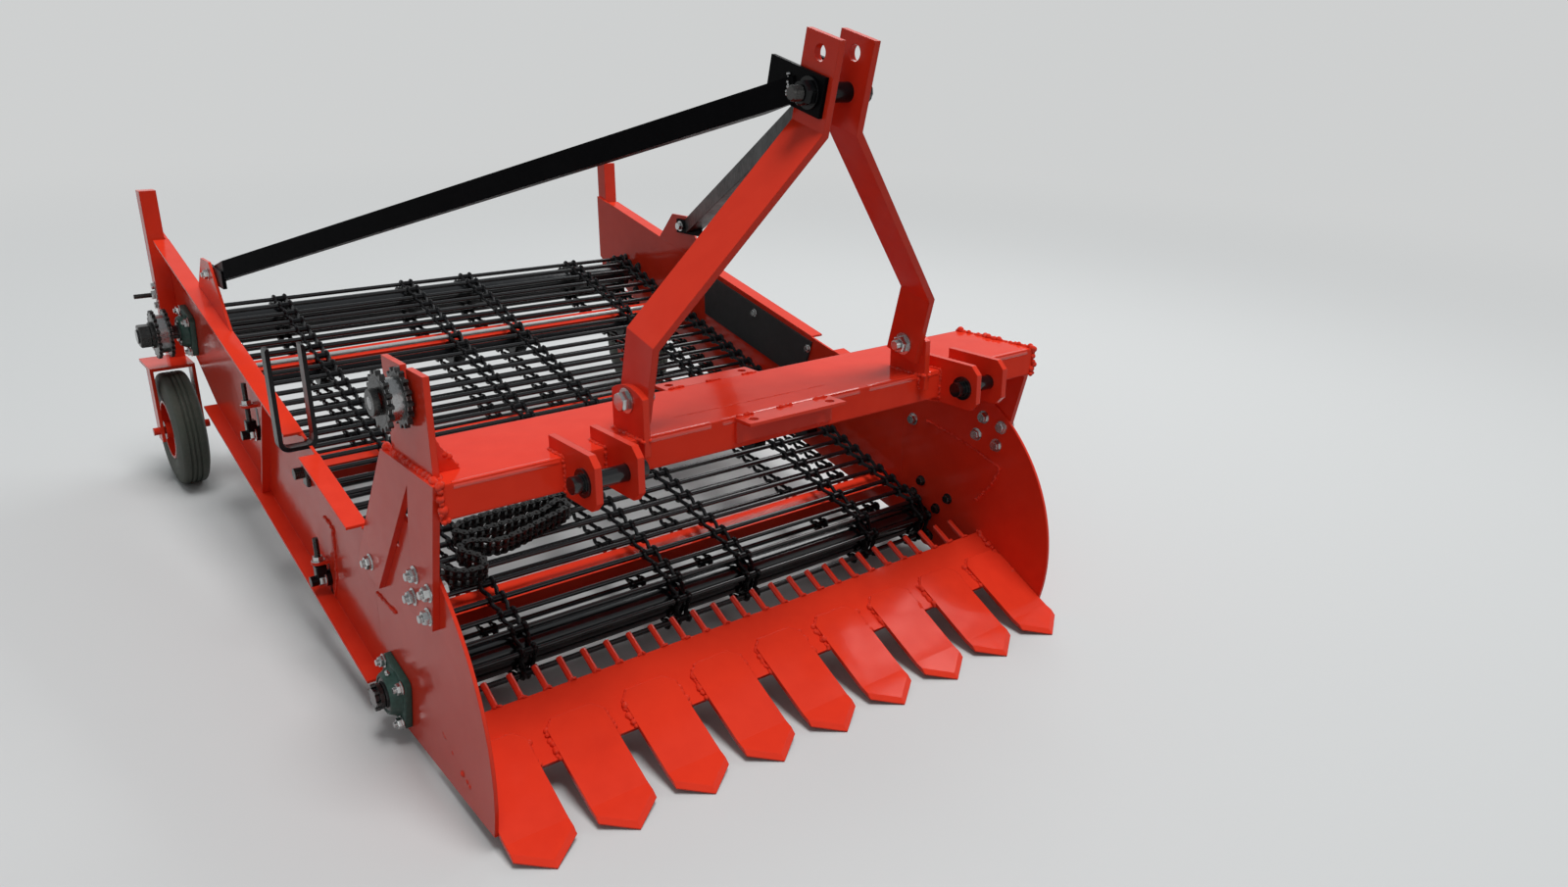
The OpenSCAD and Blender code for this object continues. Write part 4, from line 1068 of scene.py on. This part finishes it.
def make_pins():
    washers, ends = bmesh.new(), []
    for side in SIDES:
        middle = Vector((side * HITCH_X, HITCH_Y, HITCH_Z))
        for out in (LEFT, RIGHT):
            add_lathe(washers, middle + PIN_WASHER_OUT * out, out, [
                (0.0142, 0.0), (0.0215, 0.0), (0.0222, 0.0008),
                (0.0222, 0.0022), (0.0215, 0.0030), (0.0142, 0.0030),
            ], 32, closed=True)
            ends.append((middle + PIN_END_OUT * out, out, 0.0135, 25))
    piece("pin_washers", washers, MACHINED)
    fasten("pin_ends", HEAD, ends, STEEL)


def make_mast_bolt():
    """The bolt's threaded end left of the mast, and a hexagon on each strut's head plate."""
    y = MAST_FOOT_Y - MAST_BOLT_UP * math.sin(MAST_LEAN)
    z = MAST_FOOT_Z + MAST_BOLT_UP * math.cos(MAST_LEAN)
    bm = bmesh.new()
    start = Vector((-0.0615, y, z))
    add_lathe(bm, start, LEFT, [
        (0.0118, -0.010), (0.0118, 0.0220), (0.0100, 0.0242), (0.0004, 0.0245),
    ], 28)
    add_thread(bm, start + 0.003 * LEFT, 0.0028 * LEFT, 7, 0.0116, 0.0125, 24)
    piece("mast_bolt_end", bm, STEEL)
    fasten("mast_bolt_nuts", HEAD, both_sides(0.0495, [(y, z)], 0.0200, 10), BLACK)


make_pins()
make_mast_bolt()
for part in (NUT, HEAD):
    bpy.data.objects.remove(part)


# ---------------------------------------------------------------- tyres
TYRE_HALF, GROOVES = 0.037, (-0.011, 0.0, 0.011)


def make_tyre(name, node, body, x):
    """Small ribbed tyre: round shoulders, three grooves and a bead seat at the rim."""
    shoulder = [
        (0.0785, 0.007 - TYRE_HALF), (0.090, 0.002 - TYRE_HALF), (0.105, -TYRE_HALF),
        (0.125, 0.0005 - TYRE_HALF), (0.138, 0.005 - TYRE_HALF),
    ]
    for u, v in arc((0, 0), 1, 0, 90, 5):
        shoulder.append((0.138 + 0.0115 * v, 0.017 - TYRE_HALF - 0.012 * u))
    groove = ((0.1498, -0.0024), (0.1462, -0.0014), (0.1462, 0.0014), (0.1498, 0.0024))
    tread = [(r, middle + along) for middle in GROOVES for r, along in groove]
    profile = shoulder + tread + [(r, -along) for r, along in reversed(shoulder)]
    bm = bmesh.new()
    add_lathe(bm, (x, AXLE_Y, AXLE_Z), RIGHT, profile, 96, closed=True)
    tyre = piece(name, bm, TYRE, body, 28.0)
    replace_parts(tyre, node)


make_tyre("ribbed_tyre_left", "tyre_left", "wheel_left", -TRACK_HALF)
make_tyre("ribbed_tyre_right", "tyre_right", "wheel_right", TRACK_HALF)


# ---------------------------------------------------------------- welds
SHARE_SLOPE = math.radians(28)
PLATE_FRONT, PLATE_REAR, BLADE_REAR = 0.081, 0.213, 0.154
BLADE_HALF, BLADE_CORNER = 0.0545, 0.018
BLADE_PITCH, BLADES = 0.14755, 9
FINGER_PITCH, FINGERS, FINGER_R = 1.250 / 26, 26, 0.006
EAR_OFF, EAR_HALF = 0.0365, 0.006
ANGLE_RUNS_X, ANGLE_RUN = (-0.125, -0.040, 0.045), 0.030
CORNER_INSET, CORNER_R = 0.0062, 0.0070
CORNER_RUNS = ((-0.632, -0.462), (-0.363, -0.180), (-0.156, 0.156), (0.180, 0.363), (0.462, 0.632))


def on_share(x, along, up=0.001):
    """Point over the share plate: across, up its slope, and above its top."""
    c, s = math.cos(SHARE_SLOPE), math.sin(SHARE_SLOPE)
    return Vector((x, -0.070 + along * c - up * s, 0.036 + along * s + up * c))


def weld_shares():
    """Beads round each blade, along the plate's ends, and where the finger bars start."""
    beads, backs, roots = [], [], []
    inner, corner_start = BLADE_HALF - BLADE_CORNER, BLADE_REAR - BLADE_CORNER
    for k in range(BLADES):
        x = (k - (BLADES - 1) / 2) * BLADE_PITCH
        for side in SIDES:
            edge = x + side * (BLADE_HALF + 0.0005)
            beads.append([on_share(edge, PLATE_FRONT + 0.002), on_share(edge, corner_start)])
            backs.append([on_share(edge, corner_start), on_share(x + side * inner, BLADE_REAR)])
        backs.append([on_share(x - inner, BLADE_REAR), on_share(x + inner, BLADE_REAR)])
    weld("blade_side_welds", beads, 0.0048, 0.50, 4)
    weld("blade_back_welds", backs, 0.0030, 0.30, 6)
    end = PLATE_IN - 0.001
    ends = mirrored([[on_share(end, PLATE_FRONT), on_share(end, PLATE_REAR)]])
    weld("share_plate_welds", ends, 0.0056, 0.50, 9)
    for k in range(FINGERS):
        x = (k - (FINGERS - 1) / 2) * FINGER_PITCH
        bead = arc((x, -0.004), FINGER_R + 0.0015, 27, 153, 4)
        roots.append([on_share(u, PLATE_REAR + 0.001, v) for u, v in bead])
    weld("finger_root_welds", roots, 0.0028, 0.35, 12)


def weld_shields():
    """The long inner seam of each shield and the runs that hold the side plates' flanges."""
    curve = (
        (0.294, 0.365), (0.201, 0.350), (0.124, 0.330),
        (0.062, 0.310), (0.084, 0.264), (0.131, 0.210),
    )
    seams = mirrored([[(PLATE_IN - 0.001, y, z) for y, z in curve]])
    weld("shield_inner_seams", seams, 0.0030, 0.4, 14)
    edge = [[(y, rail_top(y) - 0.007) for y in run] for run in ((0.392, 0.640), (0.728, 1.770))]
    runs = [
        [(0.640, 0.341), (0.612, 0.338), (0.590, 0.331)],
        [(0.590, 0.331), (0.597, 0.290), (0.612, 0.220), (0.640, 0.172)],
        [(0.363, 0.287), (0.320, 0.285), (0.275, 0.284)],
        *edge,
        [(1.064, rail_top(1.064) - 0.30), (0.918, rail_top(0.918) - 0.01)],
    ]
    joints = mirrored([[(PLATE_OUT + 0.0005, y, z) for y, z in run] for run in runs])
    weld("side_plate_welds", joints, 0.0026, 0.35, 15)


def round_beam_corner():
    """Rolled front corner of the beam's tube, which catches the light as one line."""
    bm = bmesh.new()
    y, z = CORNER_INSET, BEAM_TOP - CORNER_INSET
    for a, b in CORNER_RUNS:
        add_round(bm, (a, y, z), (b, y, z), CORNER_R, sides=24)
    piece("beam_rolled_corner", bm, RED_ROUND)


def weld_beam():
    outer, inner, under = PLATE_OUT + 0.001, PLATE_IN - 0.001, BEAM_BOTTOM - 0.001
    ends = mirrored([
        [(outer, 0.0, BEAM_TOP), (outer, BEAM_DEPTH, BEAM_TOP)],
        [(outer, 0.0, BEAM_TOP), (outer, 0.0, BEAM_BOTTOM)],
        [(inner, 0.0, under), (inner, BEAM_DEPTH, under)],
    ])
    weld("beam_end_welds", ends, 0.0060, 0.40, 5, 1.35)
    middle = [[(-0.210, 0.066, BEAM_TOP - 0.0010), (0.120, 0.060, BEAM_TOP - 0.0010)]]
    weld("beam_tube_weld", middle, 0.0016, 0.3, 16)
    lug_faces = (MAST_FOOT_X, MAST_FOOT_X + LUG_T)
    lugs = [[(x, -0.016, BEAM_TOP), (x, 0.080, BEAM_TOP)] for x in lug_faces]
    lugs.append([(MAST_FOOT_X, -0.001, BEAM_TOP), (MAST_FOOT_X, -0.001, BEAM_TOP - 0.026)])
    weld("mast_lug_welds", mirrored(lugs), 0.0040, 0.35, 8)
    faces = [
        side * HITCH_X + ear * EAR_OFF + face
        for side in SIDES for ear in SIDES for face in (-EAR_HALF, EAR_HALF)
    ]
    ears = [[(x, 0.048, BEAM_TOP), (x, 0.0, BEAM_TOP), (x, 0.0, BEAM_BOTTOM)] for x in faces]
    weld("hitch_ear_welds", ears, 0.0034, 0.35, 11)
    above = BEAM_TOP + 0.0005
    lines = ((-0.001, BEAM_TOP - 0.045), (-0.0005, above), (BEAM_DEPTH + 0.0005, above))
    angles = [[(x, y, z), (x + ANGLE_RUN, y, z)] for y, z in lines for x in ANGLE_RUNS_X]
    weld("gearbox_angle_welds", angles, 0.0030, 0.35, 17)
    stand = [[(x, 0.025, BEAM_TOP), (x, 0.190, BEAM_TOP)] for x in (-PLATE_OUT, -0.641)]
    stand.append([(-0.640, 0.060, 0.655), (-0.604, 0.060, 0.602)])
    weld("stand_welds", stand, 0.0050, 0.45, 18, 1.4)


def weld_struts():
    """Unpainted beads where the strut tubes meet their head plates."""
    heads = mirrored([[
        (0.0500, -0.043, 1.1550), (0.0500, -0.045, 1.1430),
        (0.0572, -0.051, 1.1410), (0.0576, -0.0515, 1.1220),
    ]])
    weld("strut_head_welds", heads, 0.0026, 0.50, 21, 1.0, bare=True)


weld_struts()
weld_shares()
weld_shields()
round_beam_corner()
weld_beam()


# ---------------------------------------------------------------- stage and light
PALE = (0.62, 0.63, 0.63, 1)
CONCRETE = (0.30, 0.30, 0.29, 1)
FADE_FROM, FADE_TO = 2.6, 7.5
FLAT_R, CURVE_START, CURVE_R, WALL_TOP = (4.0, 9.0), 14.0, 5.0, 14.0
SKY, SKY_STRENGTH = (0.92, 0.97, 1.0, 1), 0.36


def paint_stage(material):
    """Pale floor that keeps the shadow near the machine and fades into the even backdrop."""
    material.use_nodes = True
    tree = material.node_tree
    even = add_node(tree, "ShaderNodeEmission", {"Color": PALE, "Strength": 1.0})
    away = add_node(tree, "ShaderNodeVectorMath", {0: object_coords(tree)}, operation="LENGTH")
    fade = add_node(tree, "ShaderNodeMapRange", {
        "Value": away.outputs["Value"], "From Min": FADE_FROM, "From Max": FADE_TO,
    }, interpolation_type="SMOOTHSTEP")
    path = add_node(tree, "ShaderNodeLightPath").outputs
    seen = path["Is Camera Ray"]
    for kind in ("Is Glossy Ray", "Is Transmission Ray"):
        seen = calc(tree, "MAXIMUM", seen, path[kind])
    tone = add_node(tree, "ShaderNodeMix", {"Factor": seen, 6: CONCRETE, 7: PALE}, data_type="RGBA")
    shader = fill(tree, tree.nodes["Principled BSDF"], {
        "Base Color": tone.outputs[2], "Roughness": 0.8, "Specular IOR Level": 0.2,
    })
    blend = add_node(tree, "ShaderNodeMixShader", {
        0: calc(tree, "MULTIPLY", fade.outputs["Result"], seen),
        1: shader.outputs["BSDF"], 2: even.outputs["Emission"],
    })
    fill(tree, tree.nodes["Material Output"], {"Surface": blend.outputs["Shader"]})


def make_stage():
    """Plain pale floor that runs up into a backdrop far behind the machine, all round it."""
    bm = bmesh.new()
    profile = [(r, 0.0) for r in FLAT_R] + arc((CURVE_START, CURVE_R), CURVE_R, -90, 0, 8)[1:]
    profile.append((CURVE_START + CURVE_R, WALL_TOP))
    middle = bm.verts.new((0, 0, 0))
    rings = [
        [bm.verts.new((r * math.cos(a), r * math.sin(a), z)) for a in turns(48)]
        for r, z in profile
    ]
    for k in range(len(rings[0])):
        m = (k + 1) % len(rings[0])
        bm.faces.new((middle, rings[0][k], rings[0][m]))
        for near, far in zip(rings, rings[1:]):
            bm.faces.new((near[k], far[k], far[m], near[m]))
    mesh = bpy.data.meshes.new("floor")
    bm.to_mesh(mesh)
    bm.free()
    mesh.polygons.foreach_set("use_smooth", [True] * len(mesh.polygons))
    floor = link_object("floor", mesh)
    material = bpy.data.materials.new("pale_floor")
    paint_stage(material)
    mesh.materials.append(material)


def add_lamp(name, kind, energy, towards, place=(0, 0, 0)):
    """Lamp at a place, looking along a direction."""
    data = bpy.data.lights.new(name, kind)
    data.energy = energy
    lamp = link_object(name, data)
    lamp.location = place
    lamp.rotation_euler = Vector(towards).to_track_quat("-Z", "Y").to_euler()
    return lamp


def add_softbox(name, place, aim, size, power):
    lamp = add_lamp(name, "AREA", power, Vector(aim) - Vector(place), place)
    lamp.data.shape = "RECTANGLE"
    lamp.data.size, lamp.data.size_y = size


def add_roof_light(name, from_place, strength, spread):
    """Even daylight from one side of the roof, as wide as a row of skylights."""
    lamp = add_lamp(name, "SUN", strength, -Vector(from_place))
    lamp.data.angle = math.radians(spread)
    lamp.visible_glossy = False


def light_scene():
    world = bpy.data.worlds.new("studio")
    bpy.context.scene.world = world
    world.use_nodes = True
    sky = world.node_tree
    fill(sky, sky.nodes["Background"], {"Color": SKY, "Strength": SKY_STRENGTH})
    add_roof_light("roof", (0.1, -0.55, 2.4), 2.1, 26)
    add_softbox("front_left", (-3.4, -3.6, 2.4), (0, 0, 0.4), (2.6, 1.2), 16)
    add_softbox("skylight", (2.9, 0.7, 3.6), (0, 0.1, 0.4), (3.6, 0.9), 46)


make_stage()
light_scene()
bpy.context.scene.view_settings.view_transform = "Standard"
